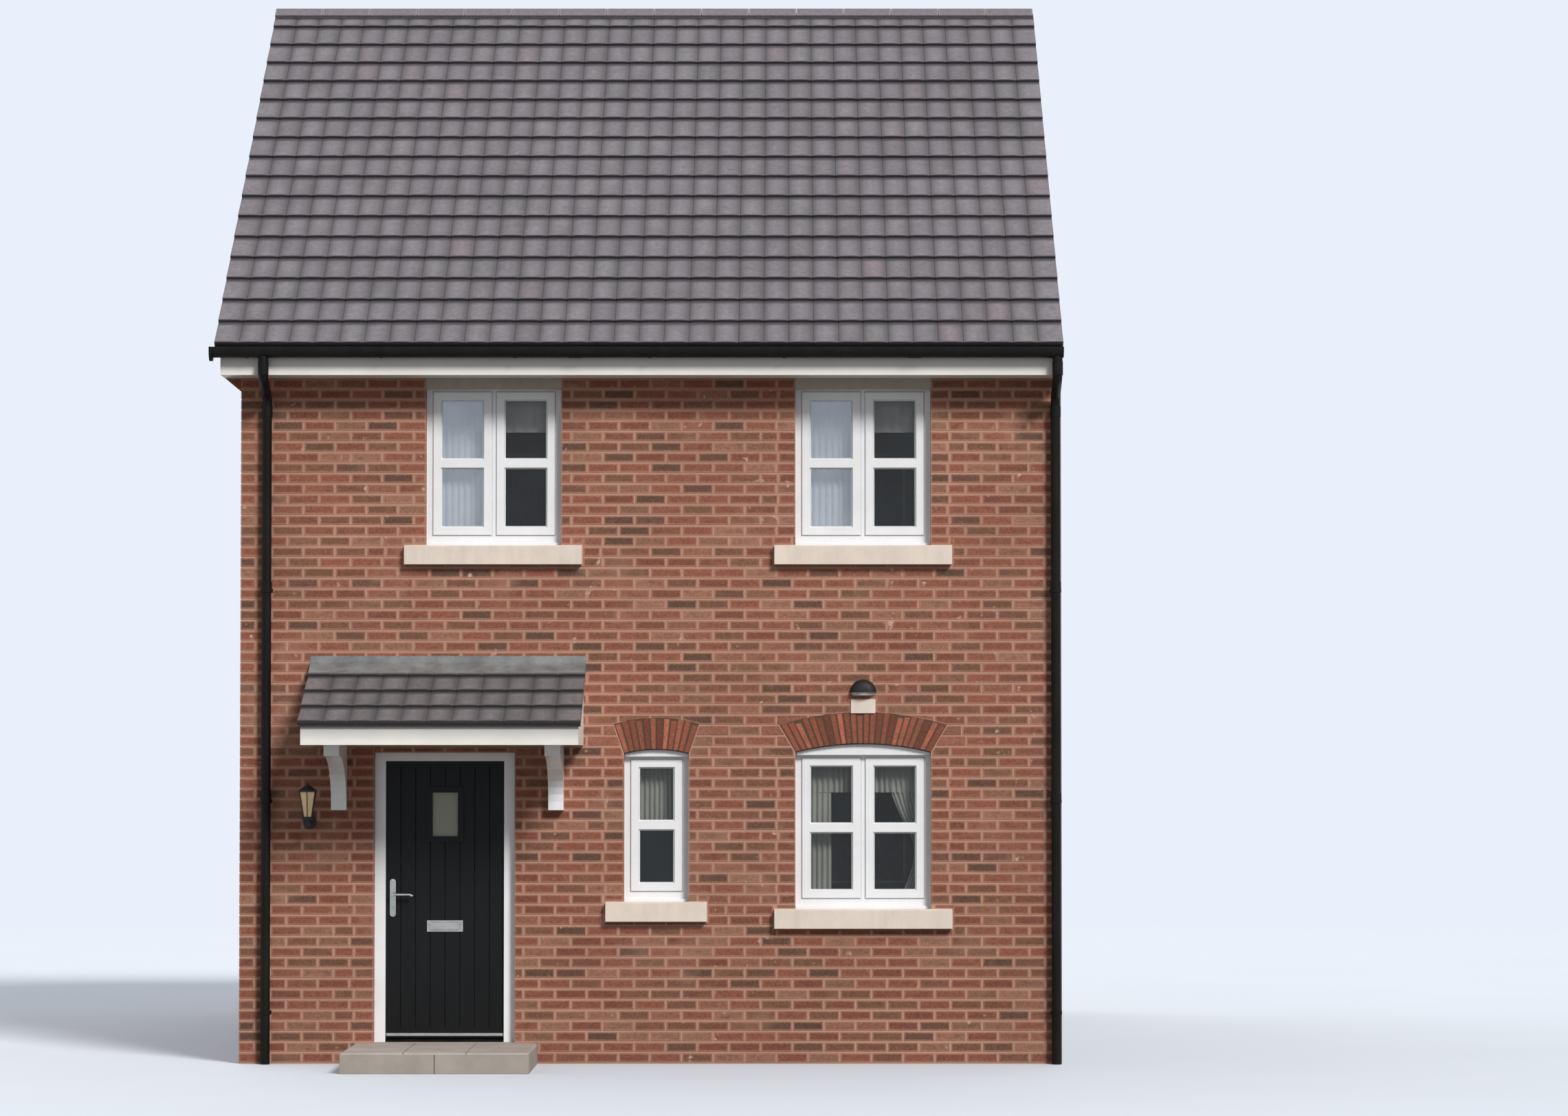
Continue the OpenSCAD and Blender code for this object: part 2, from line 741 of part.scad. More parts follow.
// Pipe from the gutter's outlet, back under the soffit, down the wall to the ground
module downpipe(x) {
    outlet = [x, -gutter_half, gutter_z - outlet_drop];
    knee = [x, -gutter_half, soffit_z - 18];
    elbow = [x, pipe_y, pipe_bend_z];
    socket_r = pipe_r + 4;
    socket_h = 70;
    clip_h = 32;
    clips = floor((pipe_bend_z - 500) / clip_spacing);
    color(black) {
        rod(outlet, knee, pipe_r);
        rod(knee, elbow, pipe_r - 1);
        bend(knee, socket_r);
        bend(elbow, socket_r);
        rod(elbow, elbow - [0, 0, socket_h], socket_r);
        rod(elbow, [x, pipe_y, 0], pipe_r);
        for (i = [0 : clips]) {
            z = 350 + i * clip_spacing;
            rod([x, pipe_y, z], [x, pipe_y, z + clip_h], pipe_r + 5);
            block([x - pipe_r - 5, x + pipe_r + 5], [pipe_y, front_y], [z, z + clip_h]);
        }
    }
}

module corner_downpipe() {
    downpipe(at(corner_pipe_x));
}

module party_downpipe() {
    downpipe(party_pipe_x);
}

module back_downpipe() {
    mirror([0, 1, 0]) downpipe(at(corner_pipe_x));
}

// Brickwork corbelled out at the gable's corners, under the ends of the eaves
module eaves_corbels() {
    top = wall_top_z(-front_y) - soffit_t - 2;
    color(brick) front_and_back() {
        along_y([front_y, front_y + corbel_len],
                [[left_x, soffit_z - corbel_h], [left_x, top], [deck_x, top],
                 [deck_x, soffit_z], [barge_x, soffit_z]]);
    }
}

// Fixed outer frame of a window, with its mullion
module window_frame(w) {
    x = [mid_x(w) - wide(w) / 2, mid_x(w) + wide(w) / 2];
    y = [front_y + reveal, front_y + reveal + frame_depth];
    z = [foot_z(w), top_z(w)];
    difference() {
        union() {
            block(x, y, z);
            block(x, [y[0] - 22, y[0] + cut], [z[0], z[0] + 20]);
        }
        for (i = [0 : leaves(w) - 1])
            block(leaf_span(w, i), [y[0] - cut, y[1] + cut], [z[0] + frame_foot, z[1] - frame_head]);
    }
}

// Clear width between a frame's jambs and mullion, for one of its casements
function leaf_span(w, i) =
    let (clear = (wide(w) - 2 * frame_side - (leaves(w) - 1) * mullion) / leaves(w),
         x = mid_x(w) - wide(w) / 2 + frame_side + i * (clear + mullion))
    [x, x + clear];
function inset(span, by) = [span[0] + by, span[1] - by];
function leaf_z(w) = [foot_z(w) + frame_foot, top_z(w) - frame_head];
function pane_x(w, i) = inset(leaf_span(w, i), casement_w);
// Two panes, one above the other, parted by the glazing bar; row is 0 for the lower one
function pane_z(w, row) =
    let (z = inset(leaf_z(w), casement_w), half = (z[1] - z[0] - bar_h) / 2)
    row == 0 ? [z[0], z[0] + half] : [z[1] - half, z[1]];
casement_y = [front_y + reveal - casement_proud, front_y + reveal - casement_proud + 60];
glass_y = [casement_y[0] + 16, casement_y[0] + 16 + glass_t];

module casements(w) {
    for (i = [0 : leaves(w) - 1]) difference() {
        union() {
            block(leaf_span(w, i), casement_y, leaf_z(w));
            block(inset(leaf_span(w, i), -casement_lap), [casement_y[0], front_y + reveal],
                  inset(leaf_z(w), -casement_lap));
        }
        for (row = [0, 1])
            block(pane_x(w, i), [casement_y[0] - cut, casement_y[1] + cut], pane_z(w, row));
    }
}

module panes(w) {
    for (i = [0 : leaves(w) - 1], row = [0, 1])
        block(pane_x(w, i), glass_y, pane_z(w, row));
}

module sill(w) {
    x = [mid_x(w) - wide(w) / 2 - horn(w), mid_x(w) + wide(w) / 2 + horn(w)];
    top = foot_z(w);
    back = front_y + reveal + frame_depth;
    nose = front_y - sill_out;
    throat = 8;
    along_x(x, [[nose, top - sill_fall], [front_y, top], [back, top], [back, top - sill_h],
                [nose + 3 * throat, top - sill_h], [nose + 2.5 * throat, top - sill_h + throat],
                [nose + 1.5 * throat, top - sill_h + throat], [nose + throat, top - sill_h],
                [nose, top - sill_h]]);
}

// Brick arch: a bed of mortar in the wall's face, with the voussoirs standing out of it
module brick_arch(w) {
    half_joint = arch_joint / 2;
    foot = arch_edge(w, 0);
    top = arch_edge(w, arch_depth);
    along_y([front_y, front_y + brick_leaf], ring_outline(w, arch_depth));
    for (i = [0 : bricks(w) - 1])
        along_y([front_y - arch_proud, front_y + cut],
                [toward(foot[i], foot[i + 1], half_joint), toward(top[i], top[i + 1], half_joint),
                 toward(top[i + 1], top[i], half_joint), toward(foot[i + 1], foot[i], half_joint)]);
}

// White board that fills the arch above a window's flat frame
module arch_board(w) {
    y = front_y + reveal + 5;
    along_y([y, y + board_t],
            concat([[mid_x(w) + wide(w) / 2, top_z(w)], [mid_x(w) - wide(w) / 2, top_z(w)]],
                   arch_edge(w, 0)));
}

module upper_window_frames() {
    color(white) front_and_back() for (w = upper_windows) window_frame(w);
}

module upper_casements() {
    color(white) front_and_back() for (w = upper_windows) casements(w);
}

module upper_glass() {
    color(pane) front_and_back() for (w = upper_windows) panes(w);
}

// Stone heads, their proud faces ending under the soffit boards
module upper_heads() {
    color(stone) front_and_back() for (w = upper_windows) {
        x = [mid_x(w) - wide(w) / 2, mid_x(w) + wide(w) / 2];
        z = [top_z(w), top_z(w) + head_h];
        block(x, [front_y, front_y + brick_leaf], z);
        block(x, [front_y - arch_proud, front_y + cut], [z[0], min(z[1], soffit_z)]);
    }
}

module lower_window_frames() {
    color(white) {
        for (w = lower_front) window_frame(w);
        mirror([0, 1, 0]) for (w = lower_back) window_frame(w);
    }
}

module lower_casements() {
    color(white) {
        for (w = lower_front) casements(w);
        mirror([0, 1, 0]) for (w = lower_back) casements(w);
    }
}

module lower_glass() {
    color(pane) {
        for (w = lower_front) panes(w);
        mirror([0, 1, 0]) for (w = lower_back) panes(w);
    }
}

module window_sills() {
    color(stone) {
        for (w = concat(upper_windows, lower_front)) sill(w);
        mirror([0, 1, 0]) for (w = concat(upper_windows, lower_back)) sill(w);
    }
}

module brick_arches() {
    color(brick) {
        for (w = lower_front) brick_arch(w);
        mirror([0, 1, 0]) for (w = lower_back) brick_arch(w);
    }
}

module arch_boards() {
    color(white) {
        for (w = lower_front) arch_board(w);
        mirror([0, 1, 0]) for (w = lower_back) arch_board(w);
    }
}

// Space of the curtains and blinds in the front windows' inner reveals
module curtains() {
    y = front_y + reveal + frame_depth + curtain_gap;
    side = 14;
    color(cloth) for (w = concat(upper_windows, lower_front))
        block([mid_x(w) - wide(w) / 2 + side, mid_x(w) + wide(w) / 2 - side],
              [y, y + curtain_t], [foot_z(w) + side, top_z(w) - side]);
}

// Frame in the doorway: stops in front of the leaf, jambs and head beside it
module door_frame() {
    half = doorway_w / 2;
    sight = half - door_jamb;
    beside = leaf_w / 2 + leaf_gap;
    y = [frame_front_y, frame_front_y + door_frame_d];
    color(white) difference() {
        block([door_mid_x - half, door_mid_x + half], y, [ground_floor_z, doorway_z]);
        block([door_mid_x - sight, door_mid_x + sight], [y[0] - cut, y[1] + cut],
              [ground_floor_z - cut, sight_top_z]);
        block([door_mid_x - beside, door_mid_x + beside], [y[0] + stop_depth, y[1] + cut],
              [ground_floor_z - cut, leaf_top_z + leaf_gap]);
    }
}

module door_threshold() {
    sight = doorway_w / 2 - door_jamb;
    z = [ground_floor_z, ground_floor_z + threshold_h];
    y = [frame_front_y, frame_front_y + door_frame_d];
    color(black) along_x([door_mid_x - sight, door_mid_x + sight],
        [[y[0], z[0]], [y[1], z[0]], [y[1], z[1]], [y[0] + stop_depth, z[1]],
         [y[0], z[1] - threshold_h / 2]]);
}

module hinge_at(z) {
    translate([hinge_x, hinge_y, z]) children();
}

// Two knuckles of each hinge, on a plate on the frame
module frame_hinges() {
    end_len = (hinge_len - 2 * knuckle_gap) / 3;
    plate_back = frame_front_y + door_frame_d;
    color(silver) for (z = hinge_heights) for (s = [-1, 1]) hinge_at(z) difference() {
        union() {
            translate([0, 0, s > 0 ? hinge_len / 2 - end_len : -hinge_len / 2])
                cylinder(h = end_len, r = knuckle_r);
            block([0, 34], [plate_back - hinge_y, plate_back - hinge_y + 3],
                  s > 0 ? [hinge_len / 2 - end_len, hinge_len / 2]
                        : [-hinge_len / 2, -hinge_len / 2 + end_len]);
        }
        translate([0, 0, -hinge_len]) cylinder(h = 2 * hinge_len, r = pin_r + run_fit);
    }
}

// The leaf's knuckle of each hinge, its pin, and a plate on the leaf
module leaf_hinges() {
    end_len = (hinge_len - 2 * knuckle_gap) / 3;
    mid = end_len / 2;
    color(silver) for (z = hinge_heights) hinge_at(z) {
        translate([0, 0, -mid]) cylinder(h = 2 * mid, r = knuckle_r);
        translate([0, 0, -hinge_len / 2 - 3]) cylinder(h = hinge_len + 6, r = pin_r);
        block([-36, 0], [leaf_back_y - hinge_y, leaf_back_y - hinge_y + 3], [-mid, mid]);
    }
}

module door_leaf() {
    board = (doorway_w - 2 * door_jamb) / leaf_boards;
    color(anthracite) difference() {
        block([leaf_left_x, leaf_right_x], [leaf_front_y, leaf_back_y], [leaf_foot_z, leaf_top_z]);
        for (i = [1 : leaf_boards - 1]) groove(leaf_left_x + stop_lap + i * board);
        block([door_mid_x - light_w / 2, door_mid_x + light_w / 2],
              [leaf_front_y - cut, leaf_back_y + cut], [light_z, light_z + light_h]);
        block([door_mid_x - slot_w / 2, door_mid_x + slot_w / 2],
              [leaf_front_y - cut, leaf_back_y + cut],
              [letter_z - slot_h / 2, letter_z + slot_h / 2]);
        translate([spindle_x, leaf_front_y - cut, lever_z]) rotate([-90, 0, 0])
            cylinder(h = leaf_t + 2 * cut, r = spindle_r + 1);
    }
}

module groove(x) {
    translate([x, leaf_front_y, leaf_foot_z + groove_foot])
        linear_extrude(leaf_top_z - groove_top - leaf_foot_z - groove_foot)
            polygon([[-groove_w / 2, -cut], [groove_w / 2, -cut], [groove_w / 2, 0],
                     [0, groove_depth], [-groove_w / 2, 0]]);
}

// Moulded rim round the door light, on both faces of the leaf
module door_light_surround() {
    outer = [light_w / 2 + surround_w, light_h / 2 + surround_w];
    rim = 10;
    color(anthracite) translate([door_mid_x, 0, light_z + light_h / 2])
        for (side = [[leaf_front_y - rim, leaf_front_y], [leaf_back_y, leaf_back_y + rim]])
            difference() {
                block([-outer[0], outer[0]], side, [-outer[1], outer[1]]);
                block([-light_w / 2, light_w / 2], [side[0] - cut, side[1] + cut],
                      [-light_h / 2, light_h / 2]);
            }
}

module door_light_glass() {
    mid = (leaf_front_y + leaf_back_y) / 2;
    color(pane) block([door_mid_x - light_w / 2, door_mid_x + light_w / 2],
                      [mid - glass_t / 2, mid + glass_t / 2], [light_z, light_z + light_h]);
}

module weather_bar() {
    x = [door_mid_x - doorway_w / 2 + door_jamb + 6, door_mid_x + doorway_w / 2 - door_jamb - 6];
    z = leaf_foot_z + weather_bar_z;
    color(silver) along_x(x, [[leaf_front_y, z], [leaf_front_y, z + weather_bar_h],
                              [leaf_front_y - 6, z + weather_bar_h], [leaf_front_y - 17, z + 5],
                              [leaf_front_y - 17, z]]);
}

// Plates on both faces of the leaf, open in the middle. Lugs on the outer one hold the flap's pin.
module letter_plate() {
    out = [letter_w / 2, letter_h / 2];
    slot = [slot_w / 2, slot_h / 2];
    plate = 5;
    lug = [flap_w / 2 + 1, flap_w / 2 + 1 + lug_w];
    axis = [flap_axis_y, flap_axis_z - letter_z];
    color(silver) translate([door_mid_x, 0, letter_z]) difference() {
        union() {
            block([-out[0], out[0]], [leaf_front_y - plate, leaf_front_y], [-out[1], out[1]]);
            block([-out[0], out[0]], [leaf_back_y, leaf_back_y + plate], [-out[1], out[1]]);
            for (s = [-1, 1]) block([min(s * lug[0], s * lug[1]), max(s * lug[0], s * lug[1])],
                                    [axis[0] - 6, leaf_front_y - plate + cut],
                                    [axis[1] - 6, axis[1] + 6]);
        }
        block([-slot[0], slot[0]], [leaf_front_y - 2 * plate, leaf_back_y + 2 * plate],
              [-slot[1], slot[1]]);
        translate([-lug[1] - cut, axis[0], axis[1]]) rotate([0, 90, 0])
            cylinder(h = 2 * lug[1] + 2 * cut, r = flap_pin_r + run_fit);
    }
}

// Outer flap of the letter plate, hung from a pin along its upper edge
module letter_flap() {
    flap_t = 4;
    pin = flap_w + 2 * lug_w;
    color(silver) translate([door_mid_x, flap_axis_y, flap_axis_z]) {
        translate([-flap_w / 2, 0, 0]) rotate([0, 90, 0]) cylinder(h = flap_w, r = flap_t);
        translate([-pin / 2, 0, 0]) rotate([0, 90, 0]) cylinder(h = pin, r = flap_pin_r);
        block([-flap_w / 2, flap_w / 2], [-flap_t, 0], [-flap_h, 0]);
    }
}

// Backplates on both faces of the leaf, with round ends and the lock's cylinder
module handle_plates() {
    color(silver) for (face = [[leaf_front_y - plate_t, leaf_front_y],
                               [leaf_back_y, leaf_back_y + plate_t]])
        difference() {
            union() {
                translate([0, face[1], 0]) rotate([90, 0, 0]) linear_extrude(plate_t)
                    union() {
                        for (s = [-1, 1])
                            translate([spindle_x, plate_z + s * (plate_h - plate_w) / 2])
                                circle(r = plate_w / 2);
                        translate([spindle_x - plate_w / 2, plate_z - (plate_h - plate_w) / 2])
                            square([plate_w, plate_h - plate_w]);
                    }
                translate([spindle_x, face[1] + 3, plate_z - 68]) rotate([90, 0, 0])
                    cylinder(h = plate_t + 6, r = 9);
            }
            translate([spindle_x, face[0] - cut, lever_z]) rotate([-90, 0, 0])
                cylinder(h = plate_t + 2 * cut, r = spindle_r + run_fit);
            block([spindle_x - 20, spindle_x + 20], [leaf_front_y, leaf_back_y],
                  [plate_z - 90, plate_z - 50]);
        }
}

// Levers on both faces of the leaf, on one spindle through it
module lever_handle() {
    ends = [leaf_front_y - lever_off, leaf_back_y + lever_off];
    tip = spindle_x + lever_len;
    color(silver) {
        translate([spindle_x, ends[0], lever_z]) rotate([-90, 0, 0])
            cylinder(h = ends[1] - ends[0], r = spindle_r);
        for (y = ends) {
            rod([spindle_x, y - lever_r, lever_z], [spindle_x, y + lever_r, lever_z], lever_r + 2);
            rod([spindle_x, y, lever_z], [tip - 2 * lever_r, y, lever_z], lever_r);
            rod([tip - 2.5 * lever_r, y, lever_z], [tip, y, lever_z - lever_r], lever_r - 1);
        }
    }
}

// Concrete step, its upper front and side edges splayed
module door_step() {
    x = [at(step_x) - step_w / 2, at(step_x) + step_w / 2];
    e = step_edge;
    front = front_y - step_out;
    color(concrete) intersection() {
        along_x(x, [[front, 0], [front_y, 0], [front_y, step_h], [front + e, step_h],
                    [front, step_h - e]]);
        along_y([front, front_y], [[x[0], 0], [x[1], 0], [x[1], step_h - e],
                                   [x[1] - e, step_h], [x[0] + e, step_h], [x[0], step_h - e]]);
    }
}

module canopy_tiles() {
    x = [canopy_mid_x - canopy_w / 2 - canopy_side, canopy_mid_x + canopy_w / 2 + canopy_side];
    color(tile) tile_courses(x, canopy_out - front_y, canopy_edge_z, canopy_pitch,
                             canopy_gauge, front_y);
}

// Boxed canopy: fascia, side boards that follow the slope, and a level underside
module canopy_body() {
    x = [canopy_mid_x - canopy_w / 2, canopy_mid_x + canopy_w / 2];
    front = front_y - canopy_front;
    board = canopy_board;
    floor_z = canopy_foot_z + 14;
    color(white) difference() {
        along_x(x, [[front, canopy_foot_z], [front_y, canopy_foot_z],
                    [front_y, canopy_deck_z(0)], [front, canopy_deck_z(canopy_front)]]);
        block(inset(x, board), [front + board, front_y - board], [floor_z, canopy_deck_z(0) + cut]);
        block(inset(x, board), [front + board, front_y + cut],
              [canopy_foot_z - cut, canopy_foot_z + 4]);
    }
}

// Lead flashing: an upstand on the wall and an apron over the top course of tiles
module canopy_flashing() {
    x = [canopy_mid_x - canopy_w / 2 - canopy_side, canopy_mid_x + canopy_w / 2 + canopy_side];
    t = flashing_t;
    wall_z = canopy_plane_z(0);
    low_z = canopy_plane_z(flashing_lap);
    color(lead) along_x(x, [[front_y, wall_z], [front_y, flashing_z], [front_y - t, flashing_z],
                            [front_y - t, wall_z + t], [front_y - flashing_lap, low_z + t],
                            [front_y - flashing_lap, low_z]]);
}

// Bracket: a post's foot on the wall and a rail under the canopy, joined by a hollow curve
module canopy_bracket(x) {
    top = canopy_foot_z;
    foot = top - bracket_h;
    post_h = bracket_bar * 0.8;
    curve = [for (i = [0 : 10]) [
        front_y - bracket_out + (bracket_out - bracket_bar) * cos(i * 9),
        foot + post_h + (bracket_h - post_h - bracket_bar) * sin(i * 9)]];
    along_x([x - bracket_w / 2, x + bracket_w / 2],
            concat([[front_y, top], [front_y, foot], [front_y - bracket_bar, foot]],
                   curve, [[front_y - bracket_out, top]]));
}

module canopy_brackets() {
    color(white) for (s = [-1, 1]) canopy_bracket(canopy_mid_x + s * bracket_span / 2);
}

lantern_glass_z = 84;
lantern_wall = 3;

// Six-sided piece of the lantern, its corners towards the front and the wall
module six_sided(z, h, r1, r2) {
    translate([at(lantern_x), front_y - lantern_out, lantern_z + z]) rotate([0, 0, 30])
        cylinder(h = h, r1 = r1, r2 = r2, $fn = 6);
}

function lantern_point(i, r, z) =
    [at(lantern_x) + (r + 4) * cos(60 * i + 30), front_y - lantern_out + (r + 4) * sin(60 * i + 30),
     lantern_z + z];

// Lantern's metalwork: wall plate, arm, base, corner bars, cap and finial
module lantern_body() {
    top = lantern_glass_z + lantern_h;
    arm_z = lantern_z + 44;
    color(black) {
        rod([at(lantern_x), front_y - 14, arm_z], [at(lantern_x), front_y, arm_z], 48);
        rod([at(lantern_x), front_y - 8, arm_z], [at(lantern_x), front_y - lantern_out, arm_z], 11);
        six_sided(12, 52, 24, 24);
        six_sided(0, 20, 8, 18);
        six_sided(60, lantern_glass_z - 60, lantern_foot_r + 12, lantern_foot_r + 12);
        six_sided(top, 14, lantern_r + 13, lantern_r + 13);
        six_sided(top + 13, 35, lantern_r + 8, 16);
        six_sided(top + 46, 16, 8, 8);
        for (i = [0 : 5])
            rod(lantern_point(i, lantern_foot_r, lantern_glass_z - 6),
                lantern_point(i, lantern_r, top + 4), 3.5);
    }
}

module lantern_glass() {
    color(amber) difference() {
        six_sided(lantern_glass_z, lantern_h, lantern_foot_r, lantern_r);
        six_sided(lantern_glass_z + 4, lantern_h, lantern_foot_r - lantern_wall,
                  lantern_r - lantern_wall);
    }
}

// Hooded wall light: a half-round hood, rounded towards the wall's top, over a flat lens
module wall_light() {
    half = wall_light_w / 2;
    foot = wall_light_z - 50;
    tall = half * 1.16;
    steps = 12;
    outline = [for (i = [0 : steps]) [at(right_x) + half * cos(180 * i / steps),
                                      foot + 10 + (tall - 10) * sin(180 * i / steps)]];
    side = [for (i = [0 : steps / 2]) [front_y - wall_light_d * cos(90 * i / (steps / 2)),
                                       foot + 10 + (tall - 10) * sin(90 * i / (steps / 2))]];
    color(black) {
        intersection() {
            along_y([front_y - wall_light_d, front_y],
                    concat([[at(right_x) - half, foot], [at(right_x) + half, foot]], outline));
            along_x([at(right_x) - half, at(right_x) + half],
                    concat([[front_y, foot], [front_y - wall_light_d, foot]], side));
        }
        block([at(right_x) - half * 0.6, at(right_x) + half * 0.6],
              [front_y - wall_light_d * 0.75, front_y], [foot - 8, foot + cut]);
    }
}

// Stone block over the crown of the wide front arch
function block_foot_z() = fan_point(lower_right, 0, arch_depth)[1];

module arch_block_shape(extra) {
    x = [at(right_x) - block_w / 2, at(right_x) + block_w / 2];
    block(x, [front_y - extra, front_y + brick_leaf], [block_foot_z() - 12, block_foot_z() + block_h]);
}

module arch_block() {
    color(stone) difference() {
        union() {
            arch_block_shape(0);
            block([at(right_x) - block_w / 2, at(right_x) + block_w / 2],
                  [front_y - block_out, front_y + cut],
                  [block_foot_z() + 1, block_foot_z() + block_h]);
        }
        along_y([front_y - block_out - cut, front_y + brick_leaf + cut],
                ring_outline(lower_right, arch_depth + seat));
    }
}

ground_floor();
first_floor();
upper_ceiling();
gable_wall();
party_wall();
front_wall_left();
front_wall_over_door();
front_wall_right();
front_wall_upper();
back_wall_lower();
back_wall_upper();
front_roof_deck();
back_roof_deck();
front_roof_tiles();
back_roof_tiles();
ridge_tiles();
bargeboards();
verge_soffit();
fascias();
eaves_soffits();
gutters();
corner_downpipe();
party_downpipe();
back_downpipe();
eaves_corbels();
upper_window_frames();
upper_casements();
upper_glass();
upper_heads();
lower_window_frames();
lower_casements();
lower_glass();
window_sills();
brick_arches();
arch_boards();
curtains();
door_frame();
door_threshold();
frame_hinges();
door_step();
canopy_tiles();
canopy_body();
canopy_flashing();
canopy_brackets();
lantern_body();
lantern_glass();
wall_light();
arch_block();
door_leaf();
door_light_surround();
door_light_glass();
weather_bar();
letter_plate();
handle_plates();
leaf_hinges();
lever_handle();
letter_flap();
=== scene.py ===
"""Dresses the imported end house: bricks, tiles, pipes, windows, curtains, door, lights and stage."""

import itertools
import math
import random

import bpy
from bpy.props import FloatProperty, FloatVectorProperty, PointerProperty
from bpy.types import Operator, Panel, PropertyGroup
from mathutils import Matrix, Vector


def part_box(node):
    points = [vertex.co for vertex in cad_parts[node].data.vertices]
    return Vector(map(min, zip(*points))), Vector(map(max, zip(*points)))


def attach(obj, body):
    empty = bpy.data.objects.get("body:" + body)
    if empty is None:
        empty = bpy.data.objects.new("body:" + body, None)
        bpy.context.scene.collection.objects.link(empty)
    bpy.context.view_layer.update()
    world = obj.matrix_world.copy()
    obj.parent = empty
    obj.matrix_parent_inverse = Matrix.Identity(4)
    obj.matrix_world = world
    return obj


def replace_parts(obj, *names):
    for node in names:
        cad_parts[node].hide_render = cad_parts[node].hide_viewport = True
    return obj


bl_info = {
    "name": "Brick End House",
    "version": (1, 0, 0),
    "blender": (4, 5, 0),
    "location": "3D View > Sidebar > House",
    "description": "Dresses the packed end house with its bricks, tiles, pipes and finishes",
    "category": "Object",
}

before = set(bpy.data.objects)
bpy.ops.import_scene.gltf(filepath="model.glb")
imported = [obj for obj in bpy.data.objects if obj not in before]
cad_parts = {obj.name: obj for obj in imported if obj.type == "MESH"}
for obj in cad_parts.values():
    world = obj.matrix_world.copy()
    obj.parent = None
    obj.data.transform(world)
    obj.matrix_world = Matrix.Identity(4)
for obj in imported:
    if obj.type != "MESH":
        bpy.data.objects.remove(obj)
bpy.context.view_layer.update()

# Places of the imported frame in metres. The front is side -1 of the house, the back side 1.
WALL_Y = -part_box("front_wall_right")[0].y
GABLE_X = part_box("gable_wall")[0].x
PARTY_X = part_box("party_wall")[1].x
SOFFIT_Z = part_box("eaves_soffits")[0].z
VERGE_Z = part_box("verge_soffit")[1].z - 0.012
FRAME_Y, CASEMENT_Y = WALL_Y - 0.075, WALL_Y - 0.065
CURTAIN_Y = (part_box("curtains")[0].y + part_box("curtains")[1].y) / 2
ROOF_PITCH, CANOPY_PITCH = math.radians(37), math.radians(25)
EAVES_Y, EAVES_Z = 3.975, 5.115
RIDGE_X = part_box("ridge_tiles")[0].x - 0.003
RIDGE_LEG, RIDGE_TILES = 0.118, 16
RIDGE_STEP = (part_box("ridge_tiles")[1].x + 0.003 - RIDGE_X) / RIDGE_TILES
GUTTER_Y, GUTTER_Z, GUTTER_TOP = 3.984, 5.058, 5.076
PIPE_Y, PIPE_RADIUS, PIPE_SIDES = 3.712, 0.034, 28
COURSE, MODULE, LEAF = 0.075, 0.225, 0.1025


def paint(red, green, blue):
    """A colour as seen on a screen, 0 to 255, as Blender's linear values."""
    return tuple(
        v / 12.92 if v <= 0.04045 else ((v + 0.055) / 1.055) ** 2.4
        for v in (red / 255, green / 255, blue / 255)
    )


def a_number(name, description, default, **kind):
    return FloatProperty(name=name, description=description, default=default, **kind)


def a_length(name, description, default):
    return a_number(name, description, default, min=0, unit="LENGTH")


def an_angle(name, description, degrees):
    return a_number(name, description, math.radians(degrees), subtype="ANGLE")


def a_colour(name, description, *screen):
    return FloatVectorProperty(
        name=name, description=description, default=paint(*screen), min=0, max=1, subtype="COLOR"
    )


class HouseSizes(PropertyGroup):
    """Sizes of what is laid on the frame."""

    brick_length: a_length("Brick length", "Length of a facing brick", 0.215)
    mortar_joint: a_length("Mortar joint", "Width of a mortar joint", 0.010)
    brick_proud: a_length("Brick proud", "How far the bricks stand out of the mortar", 0.003)
    brick_arris: a_length("Brick arris", "Rounding of a brick's edges", 0.0016)
    shortest_brick: a_length("Shortest brick", "Shortest piece laid beside an opening", 0.062)
    tile_width: a_length("Tile width", "Width of a roof tile", 0.177)
    tile_gap: a_length("Tile gap", "Gap between neighbouring roof tiles", 0.004)
    tile_skin: a_length("Tile skin", "Height of the laid tiles over the frame's courses", 0.005)


